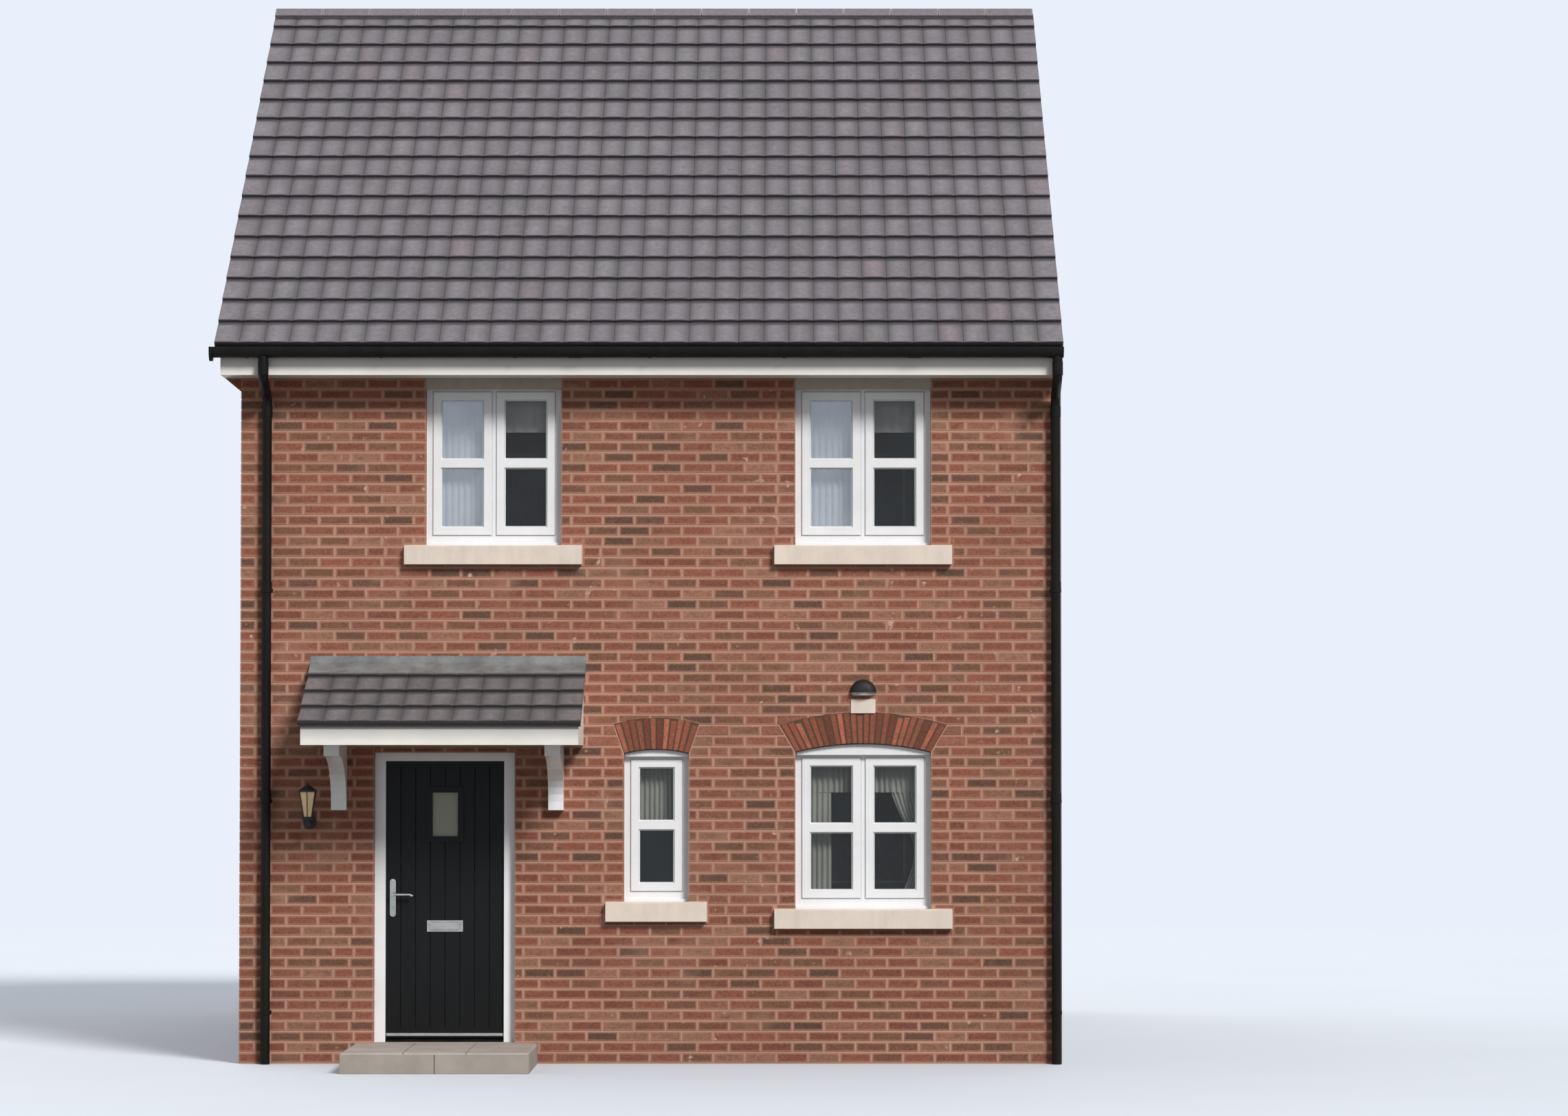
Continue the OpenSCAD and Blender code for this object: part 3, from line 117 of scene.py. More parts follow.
class HouseColours(PropertyGroup):
    """Colours of the house's finishes."""

    brick_red: a_colour("Red brick", "Commonest facing brick", 150, 93, 76)
    brick_brown: a_colour("Brown brick", "Browner brick", 133, 94, 76)
    brick_dark: a_colour("Dark brick", "Darkest brick", 107, 79, 66)
    brick_pale: a_colour("Pale brick", "Palest brick", 166, 121, 100)
    mortar: a_colour("Mortar", "Mortar of the facing brickwork", 184, 143, 123)
    arch_brick: a_colour("Arch brick", "Rubbed bricks of the arches", 148, 88, 69)
    tile: a_colour("Roof tile", "Concrete roof tile", 115, 110, 115)
    canopy_tile: a_colour("Canopy tile", "Tiles of the canopy", 106, 100, 102)
    white_board: a_colour("White boards", "Fascias and canopy", 231, 228, 224)
    white_frame: a_colour("White frames", "Window frames", 229, 230, 233)
    stone: a_colour("Cast stone", "Sills and heads", 222, 209, 197)
    rainwater: a_colour("Rainwater goods", "Gutters and pipes", 12, 11, 11)
    glass: a_colour("Glass", "Window glass", 39, 44, 45)
    cloth: a_colour("Upper nets", "Net curtains and blinds upstairs", 240, 243, 248)
    lower_cloth: a_colour("Lower nets", "Nets and valance downstairs", 199, 202, 195)
    curtain: a_colour("Curtains", "Side curtains and drawn curtains", 194, 197, 188)
    mirrored_sky: a_colour("Mirrored sky", "What the netted upper panes mirror", 190, 197, 203)
    door: a_colour("Door paint", "Front door", 15, 16, 17)
    steel: a_colour("Satin steel", "Handles, flap and hinges", 172, 171, 167)
    lead: a_colour("Lead", "Canopy flashing", 112, 112, 113)
    lantern: a_colour("Lantern glass", "Lantern panes", 222, 194, 152)
    concrete: a_colour("Concrete", "Step and ground floor", 163, 155, 148)
    timber: a_colour("Timber", "Floor boards and rafters", 170, 138, 98)
    plaster: a_colour("Plaster", "Inner faces", 214, 211, 204)
    blockwork: a_colour("Blockwork", "Party wall", 158, 156, 152)
    floor: a_colour("Stage floor", "Floor under the house", 204, 209, 217)


class StageSettings(PropertyGroup):
    """Camera and light round the house."""

    camera_x: a_number("Camera x", "Camera's place along the front", 0.948, unit="LENGTH")
    camera_distance: a_length("Camera distance", "From the camera to the plan's middle", 37.11)
    camera_height: a_length("Camera height", "Height of the camera", 2.156)
    camera_tilt: an_angle("Camera tilt", "Upward tilt of the camera", 1.9)
    lens: a_number("Lens", "Focal length in millimetres", 107.79, min=1)
    shift: a_number("Shift", "Upward shift of the picture", 0.0297)
    sun_height: an_angle("Sun height", "Height of the main lamp", 38.5)
    sun_side: an_angle("Sun side", "Turn of the main lamp to the right of the front", 32)
    sun_size: an_angle("Sun size", "Angular size of the main lamp", 16)
    sun_strength: a_number("Sun strength", "Strength of the main lamp", 3.3, min=0)
    sky_strength: a_number("Sky strength", "Light from above the horizon", 0.45, min=0)
    ground_strength: a_number("Ground strength", "Light from below the horizon", 0.13, min=0)
    back_strength: a_number("Back strength", "Soft light from behind and the left", 1.4, min=0)


def colours():
    return bpy.context.scene.house_colours


def sizes():
    return bpy.context.scene.house_sizes


# ---- Shaders ----


def both_ways(operation):
    """An operator that adds a Math node, and its reflected form."""
    return (
        lambda wire, other: wire.maths(operation, wire, other),
        lambda wire, other: wire.maths(operation, other, wire),
    )


class Wire:
    """An output of a shader node. Arithmetic on it adds Math nodes to its material."""

    __add__, __radd__ = both_ways("ADD")
    __sub__, __rsub__ = both_ways("SUBTRACT")
    __mul__, __rmul__ = both_ways("MULTIPLY")
    __truediv__, __rtruediv__ = both_ways("DIVIDE")
    __mod__, __rmod__ = both_ways("FLOORED_MODULO")
    __gt__, __lt__ = both_ways("GREATER_THAN")[0], both_ways("LESS_THAN")[0]

    def __init__(self, finish, socket):
        self.finish, self.socket = finish, socket

    def maths(self, operation, *values):
        return self.finish.node("ShaderNodeMath", {"operation": operation}, dict(enumerate(values)))

    def __abs__(self):
        return self.maths("ABSOLUTE", self)

    def __floor__(self):
        return self.maths("FLOOR", self)

    def clear(self):
        """The value kept between 0 and 1."""
        return self.maths("MINIMUM", self.maths("MAXIMUM", self, 0), 1)


class Nodes:
    """A node tree while it is being made."""

    def __init__(self, tree):
        self.tree = tree
        self.tree.nodes.clear()

    def node(self, kind, settings=None, sockets=None, output=0):
        """Adds a node: its settings first, then its sockets' values or links."""
        made = self.tree.nodes.new(kind)
        for name, value in (settings or {}).items():
            if name == "stops":
                elements = made.color_ramp.elements
                while len(elements) < len(value):
                    elements.new(1)
                for element, (place, shade) in zip(elements, value):
                    element.position, element.color = place, (*shade, 1)
            else:
                setattr(made, name, value)
        for key, value in (sockets or {}).items():
            if isinstance(value, Wire):
                self.tree.links.new(value.socket, made.inputs[key])
            elif made.inputs[key].type == "RGBA":
                made.inputs[key].default_value = (*value[:3], 1)
            else:
                made.inputs[key].default_value = value
        return Wire(self, made.outputs[output]) if made.outputs else None

    def place(self):
        return self.node("ShaderNodeTexCoord", output="Object")

    def attribute(self, name):
        return self.node("ShaderNodeAttribute", {"attribute_name": name}, output="Fac")

    def axes(self, vector=None):
        """The x, y and z of a vector, or else of the place on the object."""
        split = self.node("ShaderNodeSeparateXYZ", None, {0: vector or self.place()})
        return [Wire(self, s) for s in split.socket.node.outputs]

    def facing(self):
        """The true normal's three parts."""
        return self.axes(self.node("ShaderNodeNewGeometry", output="True Normal"))

    def seen(self):
        """1 for what the camera sees, straight or by gloss or through glass, and else 0."""
        camera, glossy, through = (
            self.node("ShaderNodeLightPath", output=f"Is {kind} Ray")
            for kind in ("Camera", "Glossy", "Transmission")
        )
        return (camera + glossy + through).clear()

    def vector(self, x, y, z):
        return self.node("ShaderNodeCombineXYZ", None, {0: x, 1: y, 2: z})

    def stretch(self, *scale):
        """The place on the object with its axes scaled."""
        sockets = {0: self.place(), 1: scale}
        return self.node("ShaderNodeVectorMath", {"operation": "MULTIPLY"}, sockets)

    def noise(self, scale, detail=3.0, vector=None):
        sockets = {"Vector": vector or self.place(), "Scale": scale, "Detail": detail}
        return self.node("ShaderNodeTexNoise", None, {**sockets, "Roughness": 0.55})

    def random(self, vector):
        return self.node(
            "ShaderNodeTexWhiteNoise", {"noise_dimensions": "3D"}, {"Vector": vector}
        )

    def range(self, value, to_low, to_high, low=0.3, high=0.7):
        """A value's range, as that of a noise, mapped to another."""
        sockets = {0: value, 1: low, 2: high, 3: to_low, 4: to_high}
        return self.node("ShaderNodeMapRange", None, sockets)

    def ramp(self, value, *stops):
        return self.node("ShaderNodeValToRGB", {"stops": stops}, {0: value})

    def mix(self, share, first, second, blend="MIX"):
        settings = {"data_type": "RGBA", "blend_type": blend}
        return self.node("ShaderNodeMix", settings, {0: share, 6: first, 7: second}, output=2)

    def cover(self, base, over, value, low, high, most=1.0):
        """The base with another colour over it, by up to most, as a value goes low to high."""
        return self.mix(self.range(value, 0, most, low, high), base, over)

    def shade(self, base, amount):
        """The colour made lighter or darker: amount 1 leaves it."""
        grey = self.node("ShaderNodeCombineColor", None, {0: amount, 1: amount, 2: amount})
        return self.mix(1.0, base, grey, "MULTIPLY")

    def vary(self, base, value, darkest, lightest, *bounds):
        """The colour shaded by a value, such as a noise."""
        return self.shade(base, self.range(value, darkest, lightest, *bounds))

    def bump(self, height, distance, strength):
        sockets = {"Height": height, "Distance": distance, "Strength": strength}
        return self.node("ShaderNodeBump", None, sockets)


class Finish(Nodes):
    """A material while its nodes are being made."""

    def __init__(self, name):
        self.material = bpy.data.materials.new(name)
        self.material.use_nodes = True
        super().__init__(self.material.node_tree)

    def surface(self, colour, roughness, relief=None, gloss=None, **sockets):
        """Ends the material in a Principled shader and gives the material. The relief is the
        bump's height, distance and strength."""
        names = {"Base Color": colour, "Roughness": roughness}
        if relief:
            names["Normal"] = self.bump(*relief)
        if gloss is not None:
            names["Specular IOR Level"] = gloss
        names.update((key.replace("_", " "), value) for key, value in sockets.items())
        shader = self.node("ShaderNodeBsdfPrincipled", None, names)
        self.node("ShaderNodeOutputMaterial", None, {0: shader})
        return self.material

    def grained(self, base, grain, shades, roughness, bump=None, gloss=None, **sockets):
        """A surface whose grain varies its colour and height, and its roughness if that is
        two values."""
        if isinstance(roughness, tuple):
            roughness = self.range(grain, *roughness)
        relief = (grain, *bump) if bump else None
        return self.surface(self.vary(base, grain, *shades), roughness, relief, gloss, **sockets)


FINISHES = {}


def a_finish(make):
    """Lists a function that makes a finish under its own name."""
    FINISHES[make.__name__] = make
    return make


def finish_of(name):
    """The named finish, made the first time that it is asked for."""
    label = f"{name}_finish"
    return bpy.data.materials.get(label) or FINISHES[name](Finish(label))


def dress(**finishes):
    """Gives each finish to the CAD nodes listed for it, in their objects' material slots."""
    for name, nodes in finishes.items():
        for node in nodes.split():
            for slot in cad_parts[node].material_slots:
                slot.material = finish_of(name)


def brick_colour(f, tone, spots):
    """Facing brick of a given tone: several firings, scorched blotches and pale specks."""
    c = colours()
    red, brown, dark, pale = c.brick_red, c.brick_brown, c.brick_dark, c.brick_pale
    firings = (0.0, red), (0.22, red * 1.1), (0.36, brown), (0.5, red * 0.8), (0.62, red)
    base = f.ramp(tone, *firings, (0.72, pale), (0.84, brown), (0.96, dark))
    base = f.vary(base, spots, 0.72, 1.26, 0.25, 0.75)
    base = f.cover(base, dark, f.noise(17.0, 4.0, f.stretch(0.5, 0.5, 1.3)), 0.54, 0.74, 0.62)
    specks = f.noise(150.0, 2.0)
    base = f.cover(base, pale, specks, 0.62, 0.74, 0.5)
    return f.cover(base, dark, specks, 0.40, 0.30, 0.55)


def mortar_colour(f):
    base = f.vary(colours().mortar, f.noise(420.0, 2.0), 0.84, 1.10)
    return f.vary(base, f.noise(1.7, 4.0), 0.86, 1.06, 0.35, 0.70)


@a_finish
def facing_brick(f):
    """Brick whose worn edges carry smears of mortar."""
    edge, spots, mortar = f.attribute("edge"), f.noise(62.0, 5.0), mortar_colour(f)
    colour = brick_colour(f, f.attribute("tone"), spots)
    colour = f.cover(colour, mortar, f.noise(2.6, 5.0), 0.57, 0.75, 0.55)
    colour = f.vary(colour, edge, 0.84, 1.0, 0.0, 0.8)
    worn = f.mix(0.76, colours().brick_red * 1.15, mortar)
    colour = f.cover(colour, worn, edge + 1.1 * (f.noise(90.0) - 0.5), 0.12, 0.92, 0.84)
    lime = f.noise(12.0, 5.0) + 0.25 * (f.noise(1.1, 2.0) - 0.5)
    colour = f.cover(colour, paint(214, 188, 168), lime, 0.68, 0.76, 0.75)
    colour = f.vary(colour, f.axes()[2], 0.87, 1.0, 0.3, 3.6)
    relief = f.noise(260.0, 4.0) + 1.2 * spots
    return f.surface(colour, f.range(spots, 0.95, 0.82), (relief, 0.0022, 0.9), 0.2)


def laid_brick(f, cell):
    """Brick colour and bed joints of a face cut through laid brickwork."""
    z = f.axes()[2]
    bed = (z % COURSE) < sizes().mortar_joint
    tone = f.random(f.vector(cell, math.floor(z / COURSE), 3.0))
    return f.mix(bed, brick_colour(f, tone, f.noise(70.0, 4.0)), mortar_colour(f)), bed


@a_finish
def wall_faces(f):
    """Walls behind the laid bricks: mortar outside, plaster inside and cut bricks in openings."""
    x, y, _ = f.axes()
    depth = abs(y)
    outside = ((depth > WALL_Y - 0.0015) + (x < GABLE_X + 0.0015)).clear()
    outer_leaf = depth > WALL_Y - LEAF - 0.0001
    brick, bed = laid_brick(f, math.floor(x * 3.0))
    plaster = f.vary(colours().plaster, f.noise(2.5), 0.94, 1.03)
    colour = f.mix(outside, f.mix(outer_leaf, plaster, brick), mortar_colour(f))
    return f.surface(colour, 0.93, (f.noise(330.0) - 2.0 * bed * outer_leaf, 0.0012, 0.7), 0.2)


@a_finish
def corbel_brick(f):
    x, y, z = f.axes()
    run = (x + y + MODULE / 2 * math.floor(z / COURSE)) % MODULE
    brick, bed = laid_brick(f, math.floor((x + y) / MODULE))
    joints = (bed + (run < 0.010)).clear()
    colour = f.mix(joints, brick, mortar_colour(f))
    return f.surface(colour, 0.92, (f.noise(260.0) - 2.0 * joints, 0.0012, 0.7), 0.25)


@a_finish
def arch_brick(f):
    """Rubbed bricks of the arches, each its own red, darker towards its edges."""
    rubbed, dark, spots = colours().arch_brick, colours().brick_dark, f.noise(60.0, 4.0)
    reds = (0.0, rubbed * 0.52), (0.35, rubbed * 0.85), (0.7, rubbed), (1.0, rubbed * 1.55)
    base = f.vary(f.ramp(f.attribute("tone"), *reds), spots, 0.70, 1.28, 0.25, 0.75)
    base = f.cover(base, dark, f.noise(14.0, 4.0), 0.52, 0.72, 0.55)
    edge = f.attribute("edge") + 0.8 * (spots - 0.5)
    base = f.cover(base, f.shade(dark, 0.8), edge, 0.5, 1.0, 0.55)
    return f.surface(base, 0.9, (f.noise(240.0, 4.0) + spots, 0.0018, 0.9), 0.2)


def tile_surface(f, base):
    """Through-coloured concrete tile, rough with sand: each tile differs a little, patches
    lean to pink or green, and painted shade darkens the noses, the heads under the next
    course and the side locks."""
    tone, mottle, sand = f.attribute("tone"), f.noise(27.0, 4.0), f.noise(170.0)
    pink, green = (1.06, 0.98, 0.985), (0.99, 1.015, 0.985)
    warm, cool = ([v * share for v, share in zip(base, lean)] for lean in (pink, green))
    leanings = (0.0, cool), (0.06, cool), (0.25, base), (0.97, base), (0.99, warm), (1.0, warm)
    colour = f.vary(f.ramp(tone, *leanings), (tone * 37.0) % 1.0, 0.93, 1.07, 0, 1)
    colour = f.vary(colour, f.noise(5.0, 4.0), 0.90, 1.10)
    colour = f.vary(f.vary(colour, mottle, 0.82, 1.19), sand, 0.80, 1.20)
    # Painted shade at the noses, under the next course's noses and at the side locks
    tile_shade = f.attribute("edge") + 0.35 * (mottle - 0.5)
    colour = f.cover(colour, f.shade(base, 0.16), tile_shade, 0.05, 1.0, 0.80)
    return f.surface(colour, f.range(mottle, 0.72, 0.88), (sand + 0.8 * mottle, 0.0016, 0.8), 0.3)


@a_finish
def tile_bed(f):
    """What shows between the laid tiles: shadowed locks, and the bedding mortar at the verge."""
    dark = f.vary(colours().tile, f.noise(40.0), 0.20, 0.32)
    bedding = f.vary(colours().blockwork, f.noise(60.0, 5.0), 0.55, 0.85)
    colour = f.mix(abs(f.facing()[0]) > 0.9, dark, bedding)
    return f.surface(colour, 0.92, (f.noise(180.0, 4.0), 0.002, 0.8))


@a_finish
def ridge_tile(f):
    """Ridge tiles of the roof's colour, smeared with mortar beside their joints."""
    half, mottle, sand = RIDGE_STEP / 2, f.noise(30.0, 4.0), f.noise(170.0)
    apart = half - abs((f.axes()[0] - RIDGE_X) % RIDGE_STEP - half) + 0.012 * (mottle - 0.5)
    base = f.vary(f.vary(colours().tile, mottle, 0.80, 1.10), sand, 0.84, 1.16)
    mortar = f.vary(colours().blockwork, sand, 0.52, 0.72)
    base = f.cover(base, mortar, apart, 0.014, 0.008)
    return f.surface(base, f.range(mottle, 0.74, 0.90), (sand + 0.8 * mottle, 0.0016, 0.8), 0.3)


@a_finish
def ridge_mortar(f):
    """Bedding under the ridge, darkened as painted shade, and pale in the joints."""
    fine = f.noise(140.0, 4.0)
    joint = abs(f.axes()[1]) < RIDGE_LEG * math.cos(ROOF_PITCH) - 0.001
    # The bed is the tile's colour darkened: painted shade under the ridge's legs
    bed = f.vary(colours().tile, f.noise(40.0, 4.0), 0.16, 0.34)
    colour = f.mix(joint, bed, f.vary(colours().blockwork, fine, 0.52, 0.72))
    return f.surface(colour, 0.94, (fine, 0.003, 0.9))


def board_surface(f, shade_share):
    """White plastic boards, darkened by a share of painted shade. Undersides show boards' grooves."""
    groove = (abs((f.axes()[1] % 0.1) - 0.05) < 0.0035) * (f.facing()[2] < -0.5)
    fine = f.noise(45.0, 3.0, f.stretch(0.2, 1.0, 1.0))
    colour = f.vary(colours().white_board, f.noise(3.0, 4.0), 0.94, 1.02, 0.35, 0.7)
    colour = f.shade(f.shade(colour, 1 - shade_share), 1 - 0.45 * groove)
    return f.surface(colour, f.range(fine, 0.32, 0.46), (fine - 4.0 * groove, 0.0006, 0.4), 0.45)


@a_finish
def canopy_board(f):
    """White board darkened by a painted shadow under the tiles that overhang it, deepest at the top
    of its front.
    """
    # Painted shadow of the tiles' overhang on the board's front, deepest at its top
    tile_shadow = f.range(f.axes()[2], 0.0, 0.42, 2.285, 2.385)
    return board_surface(f, tile_shadow * (f.facing()[1] < -0.5))


@a_finish
def white_frame(f):
    fine, coat = f.noise(60.0, 2.0), {"Coat_Weight": 0.25, "Coat_Roughness": 0.2}
    colour = f.vary(colours().white_frame, f.noise(6.0, 4.0), 0.96, 1.03)
    return f.surface(colour, f.range(fine, 0.26, 0.36), (fine, 0.0004, 0.25), **coat)


def glass_surface(f, base, netted=None):
    """Clear glass seen by daylight: most of it shows the room, the rest mirrors a pale sky."""
    ripple = f.noise(3.5, 2.0)
    sockets = {"Alpha": f.range(ripple, 0.22, 0.28), "IOR": 1.52}
    if netted:
        sockets.update(Alpha=sockets["Alpha"] + 0.09 * netted, Metallic=0.88 * netted)
    relief, roughness = (ripple, 0.004, 0.25), f.range(ripple, 0.02, 0.05)
    return f.surface(f.vary(base, ripple, 0.9, 1.1), roughness, relief, 0.9, **sockets)


@a_finish
def upper_glass(f):
    """The upper windows' glass, whose netted panes mirror much of the sky."""
    x, y, _ = f.axes()
    left, right = ((x > w.mid - w.width / 2) * (x < w.mid) for w in (UPPER_LEFT, UPPER_RIGHT))
    netted = (left + right).clear() * (y < 0)
    return glass_surface(f, f.mix(netted, colours().glass, colours().mirrored_sky), netted)


def stone_surface(f, base):
    """Cast stone: faint runs down its face and small open pits."""
    pits, cloud = f.noise(240.0, 2.0), f.noise(5.0, 4.0)
    runs = f.noise(14.0, 3.0, f.stretch(1.0, 1.0, 0.15))
    colour = f.vary(f.vary(base, cloud, 0.94, 1.04), runs, 1.02, 0.92, 0.35, 0.75)
    colour = f.vary(colour, pits, 1.0, 0.82, 0.62, 0.75)
    relief = pits + 0.5 * f.noise(600.0, 2.0)
    return f.surface(colour, f.range(cloud, 0.86, 0.94), (relief, 0.0012, 0.6), 0.25)


@a_finish
def rainwater(f):
    dust, fine = f.noise(9.0, 4.0, f.stretch(1.0, 1.0, 0.2)), f.noise(80.0, 2.0)
    colour = f.cover(colours().rainwater, paint(62, 59, 56), dust, 0.45, 0.75, 0.14)
    return f.surface(colour, f.range(fine, 0.40, 0.52), (fine, 0.0004, 0.3), 0.14)


@a_finish
def door_paint(f):
    """Satin paint over a pressed woodgrain that runs up the leaf."""
    grain = f.noise(150.0, 4.0, f.stretch(1.0, 1.0, 0.05))
    base = f.vary(colours().door, f.noise(2.0), 0.94, 1.06)
    return f.grained(base, grain, (0.86, 1.14), (0.42, 0.58), (0.0008, 0.6), 0.16)


def brushed_steel(f, roughness, *direction):
    lines = f.noise(500.0, 2.0, f.stretch(*direction))
    colour = f.vary(colours().steel, f.noise(14.0), 0.90, 1.08)
    roughness = f.range(lines, roughness - 0.06, roughness + 0.08)
    return f.surface(colour, roughness, (lines, 0.0003, 0.35), Metallic=1.0)


@a_finish
def lead(f):
    bloom = f.noise(7.0, 5.0)
    colour = f.cover(colours().lead, paint(140, 143, 142), bloom, 0.35, 0.7)
    dents = (f.noise(16.0, 2.0), 0.010, 0.5)
    return f.surface(colour, f.range(bloom, 0.48, 0.66), dents, Metallic=0.35)


def woven(f, cloth, roughness, threads, cloud, bump, sheen, **sockets):
    """Cloth with so many threads to the metre: the weave shows as a faint lattice."""
    x, _, z = f.axes()
    warp, weft = (abs((axis * threads) % 1.0 - 0.5) for axis in (x, z))
    colour, relief = f.vary(cloth, f.noise(cloud), 0.92, 1.05), ((warp + weft).clear(), *bump)
    return f.surface(colour, roughness, relief, 0.1, Sheen_Weight=sheen, **sockets)


def net_surface(f, cloth):
    return woven(f, cloth, 0.9, 700.0, 11.0, (0.0004, 0.3), 0.3, Alpha=0.90)


@a_finish
def lantern_glass(f):
    glow = colours().lantern
    shine = {"Alpha": 0.80, "Emission_Color": glow, "Emission_Strength": 0.12}
    ripple = f.noise(40.0, 2.0)
    return f.grained(glow, ripple, (0.88, 1.08), (0.10, 0.24), (0.002, 0.4), **shine)


@a_finish
def step_stone(f):
    """Pale concrete step laid in flags, their joints a little darker."""
    across, top = abs(f.axes()[0] + 1.455), f.facing()[2] > 0.5
    joint = top * (abs(across - 0.217) < 0.003) + (1 - top) * (across < 0.004)
    grain = f.noise(420.0)
    colour = f.vary(colours().concrete, f.noise(4.0, 5.0), 0.84, 1.08)
    colour = f.shade(f.vary(colour, grain, 0.90, 1.08), 1 - 0.62 * joint)
    return f.surface(colour, 0.9, (grain - 3.0 * joint, 0.0015, 0.6), 0.25)


@a_finish
def timber(f):
    """Boards that run from front to back, with their gaps."""
    x = f.axes()[0]
    gap = abs((x % 0.12) - 0.06) > 0.0585
    grain = f.noise(40.0, 4.0, f.stretch(1.0, 0.06, 1.0))
    tone = f.random(f.vector(math.floor(x / 0.12), 1.0, 2.0))
    colour = f.vary(f.vary(colours().timber, tone, 0.82, 1.08, 0, 1), grain, 0.84, 1.10)
    colour = f.shade(colour, 1 - 0.7 * gap)
    return f.surface(colour, f.range(grain, 0.48, 0.68), (grain - 3.0 * gap, 0.001, 0.5))


@a_finish
def plaster(f):
    colour = f.vary(colours().plaster, f.noise(3.0, 4.0), 0.94, 1.03)
    return f.surface(colour, 0.9, (f.noise(120.0), 0.0005, 0.4))


@a_finish
def blockwork(f):
    """Plain blocks of 440 by 215 mm in stretcher bond, and mortar behind the facing bricks."""
    _, y, z = f.axes()
    course = math.floor(z / MODULE)
    run = y + MODULE * (course % 2)
    joints = ((z % MODULE < 0.010) + (run % (2 * MODULE) < 0.010)).clear()
    tone = f.random(f.vector(math.floor(run / (2 * MODULE)), course, 4.0))
    pits = f.noise(150.0, 4.0)
    colour = f.vary(f.vary(colours().blockwork, tone, 0.88, 1.06, 0, 1), pits, 0.86, 1.10)
    colour = f.mix(joints, colour, f.vary(paint(176, 172, 164), pits, 0.9, 1.05))
    colour = f.mix(abs(y) > WALL_Y - 0.0015, colour, mortar_colour(f))
    return f.surface(colour, 0.95, (pits - 1.6 * joints, 0.002, 0.8))


@a_finish
def stage_floor(f):
    """Pale floor where it is seen, which throws back no more light than bare ground does,
    and fades out from 13 to 27 m away."""
    x, y, _ = f.axes()
    pale = f.vary(colours().floor, f.noise(0.5, 2.0), 0.99, 1.01)
    fade = f.range(x * x + y * y, 1.0, 0.0, 13**2, 27**2)
    colour = f.mix(f.seen(), paint(120, 118, 112), pale)
    return f.surface(colour, 0.9, gloss=0.1, Alpha=fade)


# The finishes that one line makes. Each range is the grain's, from dark to light or smooth
# to rough, and each bump is its distance and strength.
FINISHES.update(
    roof_tile=lambda f: tile_surface(f, colours().tile),
    canopy_tile=lambda f: tile_surface(f, colours().canopy_tile),
    white_board=lambda f: board_surface(f, 0.0),
    window_glass=lambda f: glass_surface(f, colours().glass),
    cast_stone=lambda f: stone_surface(f, colours().stone),
    # The heads under the soffit take the cast stone darkened: painted shade
    head_stone=lambda f: stone_surface(f, colours().stone * 0.62),
    satin_steel=lambda f: brushed_steel(f, 0.32, 1.0, 1.0, 0.06),
    satin_aluminium=lambda f: brushed_steel(f, 0.40, 0.04, 1.0, 1.0),
    net=lambda f: net_surface(f, colours().cloth),
    lower_net=lambda f: net_surface(f, colours().lower_cloth),
    curtain=lambda f: woven(f, colours().curtain, 0.93, 420.0, 6.0, (0.0006, 0.4), 0.4),
    # The arches' mortar darkened to a fifth of its colour: painted shade in their narrow joints
    arch_mortar=lambda f: f.grained(
        colours().mortar, f.noise(300.0), (0.15, 0.28), 0.94, (0.0012, 0.7), 0.2
    ),
    concrete=lambda f: f.grained(
        colours().concrete, f.noise(200.0, 4.0), (0.72, 0.92), 0.9, (0.001, 0.5)
    ),
    # Grey seals: the glazing gaskets, and round the casements a strip widened as painted shade
    seal=lambda f: f.grained(
        paint(196, 199, 204), f.noise(120.0, 2.0), (0.85, 1.15), (0.5, 0.7)
    ),
    lamp_lens=lambda f: f.grained(
        paint(196, 196, 190), f.noise(110.0, 2.0), (0.9, 1.08), 0.35, (0.001, 0.5)
    ),
    lantern_metal=lambda f: f.grained(
        paint(26, 24, 22), f.noise(190.0), (0.75, 1.3), (0.50, 0.66), (0.0005, 0.5), 0.3
    ),
    frosted_glass=lambda f: f.grained(
        paint(140, 141, 128), f.noise(170.0), (0.86, 1.14), (0.3, 0.45), (0.002, 0.6), IOR=1.5
    ),
)


# ---- Mesh building ----


